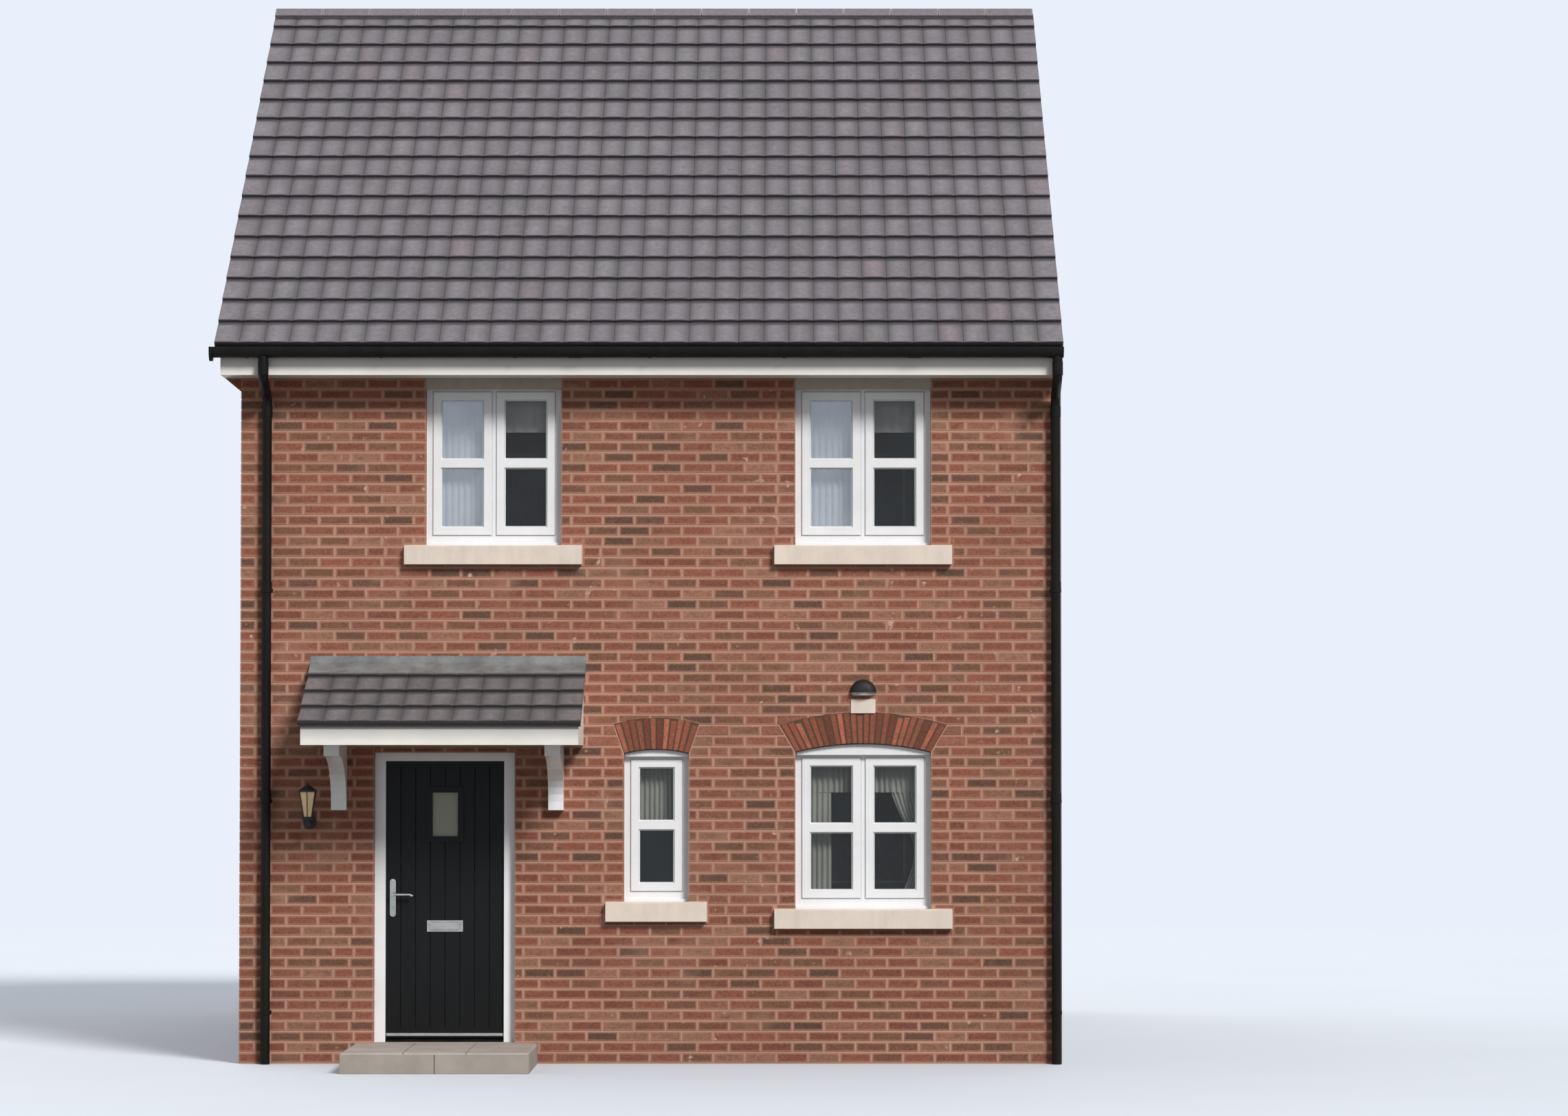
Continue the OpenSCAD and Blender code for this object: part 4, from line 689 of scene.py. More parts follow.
class Shape:
    """Corners and faces of one piece while it is drawn, in metres in the frame's place."""

    def __init__(self):
        self.points, self.edges, self.faces, self.tones, self.parts = [], [], [], [], []

    def add(self, points, edges=None):
        """Adds corners, each with how near to its piece's edge it counts, 0 to 1, which on tiles is
        their share of painted shade.
        """
        start = len(self.points)
        self.points.extend(points)
        self.edges.extend(edges or [0.0] * len(points))
        return range(start, start + len(points))

    def face(self, corners, tone=0.5, part=0):
        self.faces.append(tuple(corners))
        self.tones.append(tone)
        self.parts.append(part)

    def strips(self, rows, closed=True, tone=0.5, part=0, over=False):
        """Faces between rows of as many corners, turned over if that is asked for."""
        for a, b in zip(rows, rows[1:]):
            if over:
                a, b = b, a
            n = len(a)
            for i in range(n if closed else n - 1):
                j = (i + 1) % n
                self.face((a[i], a[j], b[j], b[i]), tone, part)

    def loft(self, rings, part=0):
        """A closed solid through rings of as many corners."""
        rows = [self.add(ring) for ring in rings]
        self.strips(rows, part=part)
        self.face(reversed(rows[0]), part=part)
        self.face(rows[-1], part=part)

    def block(self, low, high, part=0):
        (a, b, c), (d, e, f) = low, high
        ring = [(a, b), (d, b), (d, e), (a, e)]
        self.loft([[(x, y, z) for x, y in ring] for z in (c, f)], part)

    def build(self, name, finishes, slot, body="house", replaces=(), soft_angle=None):
        """Makes the piece, which rides on its body and may stand for CAD nodes."""
        mesh = bpy.data.meshes.new(name)
        mesh.from_pydata(self.points, [], self.faces)
        for label in finishes.split():
            mesh.materials.append(finish_of(label))
        mesh.polygons.foreach_set("material_index", self.parts)
        for kept, domain, values in (("tone", "FACE", self.tones), ("edge", "POINT", self.edges)):
            mesh.attributes.new(kept, "FLOAT", domain).data.foreach_set("value", values)
        if soft_angle:
            mesh.shade_smooth()
            mesh.set_sharp_from_angle(angle=math.radians(soft_angle))
        mesh.update()
        piece = bpy.data.objects.new(name, mesh)
        bpy.context.scene.collection.objects.link(piece)
        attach(piece, body)
        if replaces:
            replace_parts(piece, *replaces)
        return piece


def turned(rows, wanted):
    """Rows of corners with each row run the other way where that is wanted."""
    return [list(reversed(row)) for row in rows] if wanted else rows


def swapped(rows, wanted):
    """Rows of corners in the other order where that is wanted."""
    return list(reversed(rows)) if wanted else rows


# ---- Windows' places ----


class Window:
    """A window's place on its wall: middle, foot, width and height in metres."""

    side, head, foot_rail, mullion, casement, bar = 0.055, 0.028, 0.083, 0.051, 0.046, 0.057
    arch_depth, spring_lift, sill_height, head_height = 0.215, 0.023, 0.138, 0.150

    def __init__(self, name, mid, foot, width, height, leaves, horn, rise=0.0, bricks=0, fan=0.0):
        self.name, self.mid, self.foot, self.width, self.height = name, mid, foot, width, height
        self.leaves, self.horn, self.rise, self.bricks, self.fan = leaves, horn, rise, bricks, fan
        self.top = foot + height
        self.spring = self.top + self.spring_lift
        if rise:
            self.radius = ((width / 2) ** 2 + rise**2) / (2 * rise)
            self.aim_z = self.spring - fan
            self.half_angle = math.atan(width / 2 / fan)
            self.step_angle = 2 * self.half_angle / bricks

    def arch_point(self, angle, up):
        """A point on the arch: angle from the upright, and height over its underside."""
        gap = self.radius - self.rise - self.fan
        ray = -gap * math.cos(angle) + math.sqrt(self.radius**2 - (gap * math.sin(angle)) ** 2)
        ray += up
        return (self.mid + ray * math.sin(angle), self.aim_z + ray * math.cos(angle))

    def arch_line(self, half_angle, up):
        """The arch's curve in 24 steps, from left to right."""
        return [self.arch_point(half_angle * (k / 12 - 1), up) for k in range(25)]

    def voussoir(self, i, joint):
        """Corners of one of the arch's bricks, with half a joint left at each side."""
        corners = []
        depth = self.arch_depth
        for turn, up, way in ((i, 0, 1), (i + 1, 0, -1), (i + 1, depth, -1), (i, depth, 1)):
            angle = turn * self.step_angle - self.half_angle
            reach = math.dist(self.arch_point(angle, up), (self.mid, self.aim_z))
            corners.append(self.arch_point(angle + way * joint / 2 / reach, up))
        return corners

    def leaf(self, i):
        clear = (self.width - 2 * self.side - (self.leaves - 1) * self.mullion) / self.leaves
        x = self.mid - self.width / 2 + self.side + i * (clear + self.mullion)
        return (x, x + clear, self.foot + self.foot_rail, self.top - self.head)

    def panes(self, i):
        x0, x1, z0, z1 = grown(self.leaf(i), -self.casement)
        half = (z1 - z0 - self.bar) / 2
        return [(x0, x1, z0, z0 + half), (x0, x1, z1 - half, z1)]


def grown(rect, by):
    return (rect[0] - by, rect[1] + by, rect[2] - by, rect[3] + by)


# Name, middle, foot, width, height, leaves and sill's horn, then of an arch the rise, bricks
# and how far below the springing its joints meet
UPPER_LEFT = Window("upper_left", -1.125, 3.690, 0.965, 1.120, 2, 0.150)
UPPER_RIGHT = Window("upper_right", 1.512, 3.690, 0.965, 1.120, 2, 0.150)
WIDE_FRONT = Window("lower_wide", 1.512, 1.098, 0.965, 1.095, 2, 0.150, 0.059, 24, 0.810)
NARROW_FRONT = Window("lower_narrow", 0.039, 1.148, 0.460, 1.034, 1, 0.130, 0.030, 12, 0.650)
WIDE_BACK_LEFT = Window("back_left", -1.125, 1.098, 0.965, 1.095, 2, 0.150, 0.059, 24, 0.810)
FRONT_WINDOWS = [UPPER_LEFT, UPPER_RIGHT, WIDE_FRONT, NARROW_FRONT]
BACK_WINDOWS = [UPPER_LEFT, UPPER_RIGHT, WIDE_FRONT, WIDE_BACK_LEFT]
EVERY_WINDOW = [(-1, w) for w in FRONT_WINDOWS] + [(1, w) for w in BACK_WINDOWS]
# Left, right, foot and top
DOORWAY = (-1.970, -0.970, -1.0, 2.210)
ARCH_BLOCK = (1.425, 1.599, 2.478, 2.590)


# ---- Brickwork ----


def cut_outline(corners, plane):
    """The part of a convex outline where a*u + b*z is at most c."""
    a, b, c = plane
    kept = []
    for p, q in zip(corners, corners[1:] + corners[:1]):
        at_p, at_q = a * p[0] + b * p[1] - c, a * q[0] + b * q[1] - c
        if at_p <= 0:
            kept.append(p)
        if at_p * at_q < 0:
            t = at_p / (at_p - at_q)
            kept.append((p[0] + (q[0] - p[0]) * t, p[1] + (q[1] - p[1]) * t))
    return kept


def area(corners):
    """An outline's area, or 0 for what has too few corners."""
    if len(corners) < 3:
        return 0.0
    return 0.5 * sum(p[0] * q[1] - q[0] * p[1] for p, q in zip(corners, corners[1:] + corners[:1]))


def leave_out(corners, planes, in_order=False):
    """What is left of a convex outline without the space where every plane holds, cut in
    the planes' order, or else in the order that keeps the largest piece."""
    least = 0.00001
    inside = corners
    for plane in planes:
        inside = cut_outline(inside, plane)
    if area(inside) < least:
        return [corners]
    best = []
    for order in [planes] if in_order else itertools.permutations(planes):
        left, rest = [], corners
        for a, b, c in order:
            left.append(cut_outline(rest, (-a, -b, -c)))
            rest = cut_outline(rest, (a, b, c))
        left = [piece for piece in left if area(piece) > least]
        best = max(best, left, key=lambda pieces: max(map(area, pieces), default=0))
    return best


def inset_outline(corners, by):
    """The outline with each side moved inwards."""
    moved = []
    for before, p, after in zip(corners[-1:] + corners, corners, corners[1:] + corners[:1]):
        ea = Vector((p[0] - before[0], p[1] - before[1])).normalized()
        eb = Vector((after[0] - p[0], after[1] - p[1])).normalized()
        na, nb = Vector((-ea.y, ea.x)), Vector((-eb.y, eb.x))
        shift = (na + nb) * (by / max(0.3, 1 + na.dot(nb)))
        moved.append((p[0] + shift.x, p[1] + shift.y))
    return moved


def is_simple(inner, outer):
    """Whether every side of the inset outline still runs the way of its own side."""
    sides = zip(inner, inner[1:] + inner[:1], outer, outer[1:] + outer[:1])
    return all(
        (b[0] - a[0]) * (d[0] - c[0]) + (b[1] - a[1]) * (d[1] - c[1]) > 0 for a, b, c, d in sides
    )


def brick_body(shape, rng, place, outline, back, tone, flip):
    """A brick from its back to its proud face, with worn arrises and uneven corners."""
    s, least = sizes(), 0.0006
    face = inset_outline(outline, s.brick_arris)
    if area(outline) < least or area(face) < least / 2:
        return
    out = s.brick_proud - 0.0004
    worn = [(u + rng.uniform(-0.001, 0.001), z + rng.uniform(-0.001, 0.001)) for u, z in face]
    heart = inset_outline(worn, 0.013)
    has_heart = area(heart) > least and is_simple(heart, worn)
    front = [place(u, z, out + rng.uniform(-0.0005, 0.0004)) for u, z in worn]
    rows = [[place(u, z, back) for u, z in outline], front]
    if has_heart:
        rows.append([place(u, z, out + 0.0002) for u, z in heart])
    edges = (1.0, 1.0, 0.0) if has_heart else (1.0, 0.3)
    rows = [shape.add(row, [edge] * len(row)) for row, edge in zip(turned(rows, flip), edges)]
    shape.strips(rows, tone=tone)
    shape.face(rows[-1], tone)


class Wall:
    """A face of brickwork. Its places are u along the wall, from a corner, and z."""

    def __init__(self, length, place, flip, seed):
        self.length, self.place, self.flip = length, place, flip
        self.random = random.Random(seed)
        self.openings, self.arches, self.tops = [], [], []
        self.shape = Shape()

    def opening(self, u0, u1, z0, z1, margin=0.0):
        self.openings.append(grown((u0, u1, z0, z1), margin))

    def window(self, w):
        """The space of a window: the opening, the sill with its joint, and the head or arch."""
        joint = sizes().mortar_joint * 0.8
        mid, half = w.mid - GABLE_X, w.width / 2
        sill = half + w.horn
        self.opening(mid - sill, mid + sill, w.foot - w.sill_height, w.foot, joint)
        self.opening(mid - half, mid + half, w.foot, w.spring if w.rise else w.top)
        if w.rise:
            self.arches.append(w)
        else:
            self.opening(mid - half, mid + half, w.top, w.top + w.head_height, joint)

    def arch_planes(self, w, u):
        """Planes round an arch, its outer curve taken at u, with a tight joint left."""
        joint = sizes().mortar_joint * 0.6
        u_from_mid = u + GABLE_X - w.mid

        def plane(normal, point):
            return (*normal, normal[0] * (point[0] - GABLE_X) + normal[1] * point[1] + joint)

        planes = []
        own_side = -1 if u_from_mid < 0 else 1
        for side in (own_side, -own_side):
            along = (math.sin(side * w.half_angle), math.cos(w.half_angle))
            normal = (side * along[1], -side * along[0])
            planes.append(plane(normal, w.arch_point(side * w.half_angle, 0)))
        angle = math.atan2(u_from_mid, w.top + 0.26 - w.aim_z)
        angle = max(-w.half_angle, min(w.half_angle, angle))
        a, b = (w.arch_point(angle + s * 0.02, w.arch_depth) for s in (-1, 1))
        slope = Vector((b[0] - a[0], b[1] - a[1])).normalized()
        return [*planes, plane((-slope.y, slope.x), a), (0, -1, -w.spring)]

    def spans(self, z0, z1):
        """Clear stretches of a course, between what takes its whole height."""
        blocked = [o[:2] for o in self.openings if o[2] < z0 + 0.004 and o[3] > z1 - 0.004]
        for w in self.arches:
            crown = w.spring + w.rise + w.arch_depth
            if z1 > w.spring and z0 < crown - 0.10:
                reach = (max(z0, w.spring) - w.aim_z) * math.tan(w.half_angle) + 0.010
                blocked.append((w.mid - GABLE_X - reach, w.mid - GABLE_X + reach))
        edge = 0.0
        for a, b in [*sorted(blocked), (self.length, self.length)]:
            if a - edge > 0.01:
                yield edge, a
            edge = max(edge, b)

    def pieces(self, start, end, phase):
        """Bricks of one stretch: joints of the bond, moved clear of the stretch's ends."""
        s = sizes()
        module, half = s.brick_length + s.mortar_joint, s.mortar_joint / 2
        first, last = math.ceil((start - phase) / module), math.ceil((end - phase) / module)
        joints = [phase + n * module for n in range(first, last)]
        joints = [j for j in joints if j - start > s.shortest_brick and end - j > s.shortest_brick]
        edges = [start, *joints, end]
        for i, (a, b) in enumerate(zip(edges, edges[1:])):
            a += half if i > 0 else 0
            b -= half if i < len(joints) else 0
            if b - a > s.brick_length * 1.12:
                middle = (a + b) / 2
                yield a, middle - half
                yield middle + half, b
            else:
                yield a, b

    def lay(self, courses, far_corner=False):
        """Lays every course in stretcher bond, cut to the openings, arches and slopes. The
        bricks at the near corner, and at a far one, stand proud for the next wall's bricks."""
        s = sizes()
        module = s.brick_length + s.mortar_joint
        for course in range(courses):
            z0, z1 = course * COURSE + s.mortar_joint, (course + 1) * COURSE
            whole = (course % 2 == 0) != far_corner
            phase = s.brick_length if whole else (s.brick_length - s.mortar_joint) / 2
            phase += s.mortar_joint / 2
            for start, end in self.spans(z0, z1):
                for a, b in self.pieces(start, end, phase % module):
                    tone = self.random.random()
                    if a == 0.0:
                        a = -s.brick_proud
                        tone = random.Random(course * 7 + 1).random()
                    if b == self.length and far_corner:
                        b += s.brick_proud
                        tone = random.Random(course * 7 + 2).random()
                    self.cut_and_lay([(a, z0), (b, z0), (b, z1), (a, z1)], tone)
        return self.shape

    def cut_and_lay(self, outline, tone):
        left = [outline]
        (u0, z0), (u1, z1) = outline[0], outline[2]
        for a, b, c, d in self.openings:
            if a < u1 and b > u0 and c < z1 and d > z0:
                planes = [(-1, 0, -a), (1, 0, b), (0, -1, -c), (0, 1, d)]
                left = [piece for o in left for piece in leave_out(o, planes, True)]
        middle = (u0 + u1) / 2
        for w in self.arches:
            if abs(middle + GABLE_X - w.mid) < 1.0 and w.spring < z1 and z0 < w.spring + 0.4:
                planes = self.arch_planes(w, middle)
                left = [piece for o in left for piece in leave_out(o, planes)]
        for plane in self.tops:
            left = [cut_outline(o, plane) for o in left]
        for piece in left:
            # Corners that lie nearly on one another are left out
            piece = [p for i, p in enumerate(piece) if math.dist(p, piece[i - 1]) > 0.0008]
            if len(piece) > 2:
                body = (self.place, piece, -0.0006, tone, self.flip)
                brick_body(self.shape, self.random, *body)


def long_bricks(side):
    """The bricks of the front or the back, from the gable to the party line."""
    wall = Wall(
        PARTY_X - GABLE_X,
        lambda u, z, out: (GABLE_X + u, side * (WALL_Y + out), z),
        flip=side > 0,
        seed=11 if side < 0 else 12,
    )
    for w in FRONT_WINDOWS if side < 0 else BACK_WINDOWS:
        wall.window(w)
    if side < 0:
        for (x0, x1, z0, z1), margin in ((DOORWAY, 0.0), (ARCH_BLOCK, 0.006)):
            wall.opening(x0 - GABLE_X, x1 - GABLE_X, z0, z1, margin)
    wall.tops.append((0, 1, SOFFIT_Z - 0.001))
    return wall.lay(courses=65)


def gable_bricks():
    """The gable's bond starts at both corners, and its odd bricks are near the middle."""
    wall = Wall(
        2 * WALL_Y, lambda u, z, out: (GABLE_X - out, u - WALL_Y, z), flip=True, seed=13
    )
    slope = math.tan(ROOF_PITCH)
    for way in (-slope, slope):
        wall.tops.append((way, 1, VERGE_Z + WALL_Y * way - 0.001))
    return wall.lay(courses=106, far_corner=True)


def arches():
    """Rings of rubbed bricks whose joints fan from one point, on a mortar bed."""
    rng = random.Random(14)
    shape = Shape()
    for side, w in EVERY_WINDOW:
        if not w.rise:
            continue

        def place(x, z, out):
            return (x, side * (WALL_Y + out), z)

        for i in range(w.bricks):
            corners = w.voussoir(i, joint=0.0065)
            top = rng.choice((0.010, 0.007, 0.002, -0.006, -0.014))
            corners[2:] = [(x, z + top + rng.uniform(-0.002, 0.002)) for x, z in corners[2:]]
            brick_body(shape, rng, place, corners, -LEAF, rng.random(), side > 0)
        outline = w.arch_line(w.half_angle, 0.003)
        outline += reversed(w.arch_line(w.half_angle, w.arch_depth + 0.007))
        rows = [[place(x, z, out) for x, z in outline] for out in (-LEAF, 0.0004)]
        rows = [shape.add(row) for row in swapped(rows, side > 0)]
        shape.strips(rows, part=1)
        for row, behind in (rows[1], False), (rows[0], True):
            for k in range(24):
                quad = (row[k], row[k + 1], row[48 - k], row[49 - k])
                shape.face(reversed(quad) if behind else quad, part=1)
    shape.build("arch_bricks", "arch_brick arch_mortar", "brickwork", replaces=["brick_arches"])


class HOUSE_OT_brickwork(Operator):
    """Lay the facing bricks of the front, the gable and the back, and finish the walls"""

    bl_idname = "house.brickwork"
    bl_label = "Brickwork"

    def execute(self, context):
        dress(
            wall_faces="front_wall_left front_wall_over_door front_wall_right front_wall_upper "
            "back_wall_lower back_wall_upper gable_wall",
            corbel_brick="eaves_corbels",
            cast_stone="window_sills arch_block",
            head_stone="upper_heads",
        )
        arches()
        long_bricks(-1).build("front_bricks", "facing_brick", "brickwork")
        long_bricks(1).build("back_bricks", "facing_brick", "brickwork")
        gable_bricks().build("gable_bricks", "facing_brick", "brickwork")
        return {"FINISHED"}


# ---- Roof ----


class Slope:
    """A slope of laid tiles over the frame's stepped courses, rising from its lower edge."""

    layer, step, nose = 0.045, 0.022, 0.004

    def __init__(self, node, edge_y, edge_z, pitch, gauge, top_y, side=-1):
        self.x0, self.x1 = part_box(node)[0].x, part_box(node)[1].x
        self.pitch, self.gauge, self.side = pitch, gauge, side
        self.foot_y = -edge_y + self.layer * math.sin(pitch)
        self.foot_z = edge_z - self.layer * math.cos(pitch)
        self.length = (-top_y - self.foot_y) / math.cos(pitch)

    def at(self, x, s, up):
        y = self.foot_y + s * math.cos(self.pitch) - up * math.sin(self.pitch)
        z = self.foot_z + s * math.sin(self.pitch) + up * math.cos(self.pitch)
        return (x, y if self.side < 0 else -y, z)

    def lay(self, name, finish, seed):
        shape, rng = Shape(), random.Random(seed)
        columns = round((self.x1 - self.x0) / sizes().tile_width)
        width = (self.x1 - self.x0) / columns
        for i in range(math.ceil(self.length / self.gauge)):
            low = i * self.gauge
            high = min(low + self.gauge, self.length)
            for j in range(columns):
                ends = (j == 0, j == columns - 1)
                self.tile(shape, rng, self.x0 + j * width, width, low, high, *ends)
        shape.build(name, finish, "roof_tile", soft_angle=24)

    def tile(self, shape, rng, x, width, low, high, first, last):
        """One tile: nearly flat, its sides falling to the locks, with a rounded nose."""
        gap, skin, nose = sizes().tile_gap / 2, sizes().tile_skin, self.nose
        fall = skin - 0.0006
        lift, tip = rng.uniform(-0.0006, 0.0012), rng.uniform(-0.0008, 0.0008)
        tone = rng.random()
        # Across the tile: the place, how far it falls, and its share of painted shade at the locks
        across = [
            (gap, fall, 0.70),
            (gap + 0.010, fall * 0.45, 0.60),
            (gap + 0.034, fall * 0.10, 0.26),
            (width * 0.45, 0.0, 0.0),
            (width - gap - 0.044, fall * 0.10, 0.26),
            (width - gap - 0.016, fall * 0.55, 0.60),
            (width - gap, fall, 0.70),
        ]
        verge = [(0.0, 0.004, 0.3), (0.003, 0.001, 0.2), (0.012, 0.0, 0.0)]
        if first:
            across[:3] = verge
        if last:
            across[-3:] = [(width - dx, fallen, tile_shade) for dx, fallen, tile_shade in reversed(verge)]
        top = self.layer + skin
        back = top - self.step * (high - low) / self.gauge
        # Up the tile: the place, the height, whether it takes the tile's tilt, and its painted shade
        along = (
            (low - skin + 0.0005, self.layer - self.step + skin * 0.4, 0.0, 1.0),
            (low - skin, top - nose, 1.0, 1.0),
            (low - skin + nose * 0.35, top - nose * 0.3, 1.0, 0.8),
            (low - skin + nose, top, 1.0, 0.60),
            (low + 0.012, top - self.step * 0.012 / self.gauge, 1.0, 0.0),
            (high - 0.062, back + self.step * 0.062 / self.gauge, 1.0, 0.0),
            (high - 0.026, back + self.step * 0.026 / self.gauge, 1.0, 0.95),
            (high - 0.001, back, 1.0, 1.0),
        )
        rows = []
        for s, up, tilted, tile_shade in along:
            rise = lift if s < high - 0.002 else lift * 0.3
            row = [
                self.at(x + dx, s, up + (rise + tip * (dx / width - 0.5) - fallen) * tilted)
                for dx, fallen, _ in across
            ]
            rows.append(shape.add(row, [max(tile_shade, side_shade) for _, _, side_shade in across]))
        shape.strips(rows, closed=False, tone=tone, over=self.side > 0)
        for edge, wanted in ((0, first), (-1, last)):
            if wanted:
                self.side_lip(shape, rows, edge, low, high, x if edge == 0 else x + width, tone)

    def side_lip(self, shape, rows, edge, low, high, x, tone):
        """A verge tile's edge turned down over the course's end."""
        foot = self.layer - 0.016
        back = self.layer - self.step * (high - low) / self.gauge - 0.016 * 0.4
        places = ((low - 0.004, foot), (low, foot), (high - 0.001, back))
        under = shape.add([self.at(x, s, up) for s, up in places])
        lip = turned([under, [rows[k][edge] for k in (1, 3, 7)]], (edge == 0) != (self.side > 0))
        shape.strips(lip, closed=False, tone=tone)


def ridge_bedding():
    """Mortar pointed under both legs of the ridge tiles, uneven as a trowel leaves it, and in
    the joints between the tiles."""
    rng, shape = random.Random(24), Shape()
    x0, x1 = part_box("ridge_tiles")[0].x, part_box("ridge_tiles")[1].x
    sine, cosine = math.sin(ROOF_PITCH), math.cos(ROOF_PITCH)
    top_z = EAVES_Z + EAVES_Y * math.tan(ROOF_PITCH)
    count = 160
    for side in (-1, 1):
        rows = [[], [], []]
        for k in range(count + 1):
            x = x0 + 0.004 + (x1 - x0 - 0.008) * k / count
            wobble = RIDGE_LEG + rng.uniform(-0.003, 0.003)
            places = ((RIDGE_LEG - 0.004, 0.006), (wobble + 0.016, 0.001), (wobble + 0.026, -0.020))
            for row, (out, up) in zip(rows, places):
                y = side * (out * cosine + up * sine)
                row.append((x, y, top_z - out * sine + up * cosine))
        rows = [shape.add(row) for row in rows]
        shape.strips(rows, closed=False, over=side < 0)
    crown_r, thick = 0.0335, 0.0175
    crown_z = top_z + (0.018 - 0.034) / cosine
    leg_y, leg_z = (RIDGE_LEG - 0.0005) * cosine, top_z - (RIDGE_LEG - 0.0005) * sine
    half = [(leg_y, leg_z), (leg_y + thick * sine, leg_z + thick * cosine)]
    crown = [
        (crown_r * math.cos(a), crown_z + crown_r * math.sin(a))
        for a in (math.pi / 2 - ROOF_PITCH * (1 - k / 4) for k in range(9))
    ]
    outline = [*half, *crown, *((-y, z) for y, z in reversed(half)), (0.0, top_z - 0.002)]
    for k in range(1, RIDGE_TILES):
        x = RIDGE_X + k * RIDGE_STEP
        shape.loft([[(x + dx, y, z) for y, z in outline] for dx in (-0.0065, 0.0005)])
    shape.build("ridge_bedding", "ridge_mortar", "roof_tile", soft_angle=50)


class HOUSE_OT_roof(Operator):
    """Lay the tiles of both slopes and the canopy, and bed the ridge in mortar"""

    bl_idname = "house.roof"
    bl_label = "Roof tiles"

    def execute(self, context):
        dress(
            tile_bed="front_roof_tiles back_roof_tiles canopy_tiles",
            timber="front_roof_deck back_roof_deck",
            ridge_tile="ridge_tiles",
        )
        # The node, its lower edge, the pitch, the gauge and where the last course ends
        roof = ("front_roof_tiles", EAVES_Y, EAVES_Z, ROOF_PITCH, 0.295, 0.06)
        for name, side, seed in (("front_tiles", -1, 21), ("back_tiles", 1, 22)):
            Slope(*roof, side).lay(name, "roof_tile", seed)
        canopy = ("canopy_tiles", WALL_Y + 0.9, 2.430, CANOPY_PITCH, 0.265, WALL_Y + 0.002)
        Slope(*canopy).lay("canopy_laid_tiles", "canopy_tile", 23)
        ridge_bedding()
        return {"FINISHED"}


# ---- Rainwater ----

ACROSS, OUTWARDS = Vector((1, 0, 0)), Vector((0, 1, 0))


def ring(centre, up, radius):
    turns = (2 * math.pi * k / PIPE_SIDES for k in range(PIPE_SIDES))
    return [
        tuple(centre + ACROSS * (radius * math.cos(a)) + up * (radius * math.sin(a)))
        for a in turns
    ]


def tube(shape, points, radius):
    """A round pipe along points in a plane of constant x, with mitred rings."""
    rings = []
    for i, p in enumerate(points):
        before = (p - points[i - 1]).normalized() if i else (points[1] - p).normalized()
        after = (points[i + 1] - p).normalized() if i < len(points) - 1 else before
        along = (before + after).normalized()
        rings.append(ring(p, ACROSS.cross(along) / max(0.5, along.dot(after)), radius))
    shape.loft(rings)


def collar(shape, x, y, z0, z1, radius):
    """A socket with a rounded lip at both ends."""
    lip = 0.002
    path = [(z0, radius - lip), (z0 + lip, radius), (z1 - lip, radius), (z1, radius - lip)]
    shape.loft([ring(Vector((x, y, z)), OUTWARDS, r) for z, r in path])


def eased(path, radius=0.07, steps=5):
    """The path with its corners rounded."""
    points = [Vector(p) for p in path]
    out = [points[0]]
    for a, b, c in zip(points, points[1:], points[2:]):
        reach = min(radius, (b - a).length * 0.45, (c - b).length * 0.45)
        start, end = b + (a - b).normalized() * reach, b + (c - b).normalized() * reach
        for t in (k / steps for k in range(steps + 1)):
            out.append(start * (1 - t) ** 2 + b * (2 * t * (1 - t)) + end * t**2)
    return [*out, points[-1]]


def outlet(shape, x, side, radius):
    """The gutter's outlet, whose top follows the middle of the gutter's skin."""
    foot, skin = Vector((x, side * GUTTER_Y, 4.968)), 0.0545
    rings = [ring(foot, OUTWARDS, radius)]
    for share in (1, 0.66, 0.33):
        rings.append(
            [
                (px, py, GUTTER_Z - math.sqrt(skin**2 - (py - foot.y) ** 2))
                for px, py, _ in ring(foot, OUTWARDS, share * radius)
            ]
        )
    shape.loft(rings)


def downpipe(name, node, side):
    """A round pipe: outlet, swan neck to the wall, and lengths with sockets and clips."""
    low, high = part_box(node)
    x, radius, shape = (low.x + high.x) / 2, PIPE_RADIUS, Shape()
    # How far out and how high the pipe's middle turns, then its sockets' feet and heights
    path = ((GUTTER_Y, 4.972), (GUTTER_Y, 4.862), (PIPE_Y, 4.742), (PIPE_Y, 0.0))
    sockets, clips = ((4.600, 0.080), (1.86, 0.066), (3.36, 0.066)), (0.35, 1.85, 3.35)
    tube(shape, eased([(x, side * y, z) for y, z in path]), radius)
    collar(shape, x, side * GUTTER_Y, 4.880, 4.976, radius + 0.004)
    outlet(shape, x, side, radius + 0.001)
    for z, tall in sockets:
        collar(shape, x, side * PIPE_Y, z, z + tall, radius + 0.004)
    half = radius + 0.005
    for z in clips:
        collar(shape, x, side * PIPE_Y, z, z + 0.030, radius + 0.0052)
        # The clip's stem and its plate on the wall
        for wide, out, rim in ((half * 0.6, PIPE_Y, 0.0), (half, WALL_Y + 0.004, 0.002)):
            y0, y1 = sorted((side * out, side * WALL_Y))
            shape.block((x - wide, y0, z + rim), (x + wide, y1, z + 0.030 - rim))
    shape.build(name, "rainwater", "rainwater", replaces=[node], soft_angle=35)


def gutter_ring(x, y_mid, side, radius, lift, drop=0.0):
    """Half-round section with straight sides, as a row of corners from the fascia outwards."""
    top, turns = GUTTER_TOP + lift, [math.pi * k / 22 for k in range(23)]
    return [
        (x, y_mid + side * -radius, top),
        *(
            (x, y_mid - side * radius * math.cos(a), GUTTER_Z - drop - radius * math.sin(a))
            for a in turns
        ),
        (x, y_mid + side * radius, top),
    ]


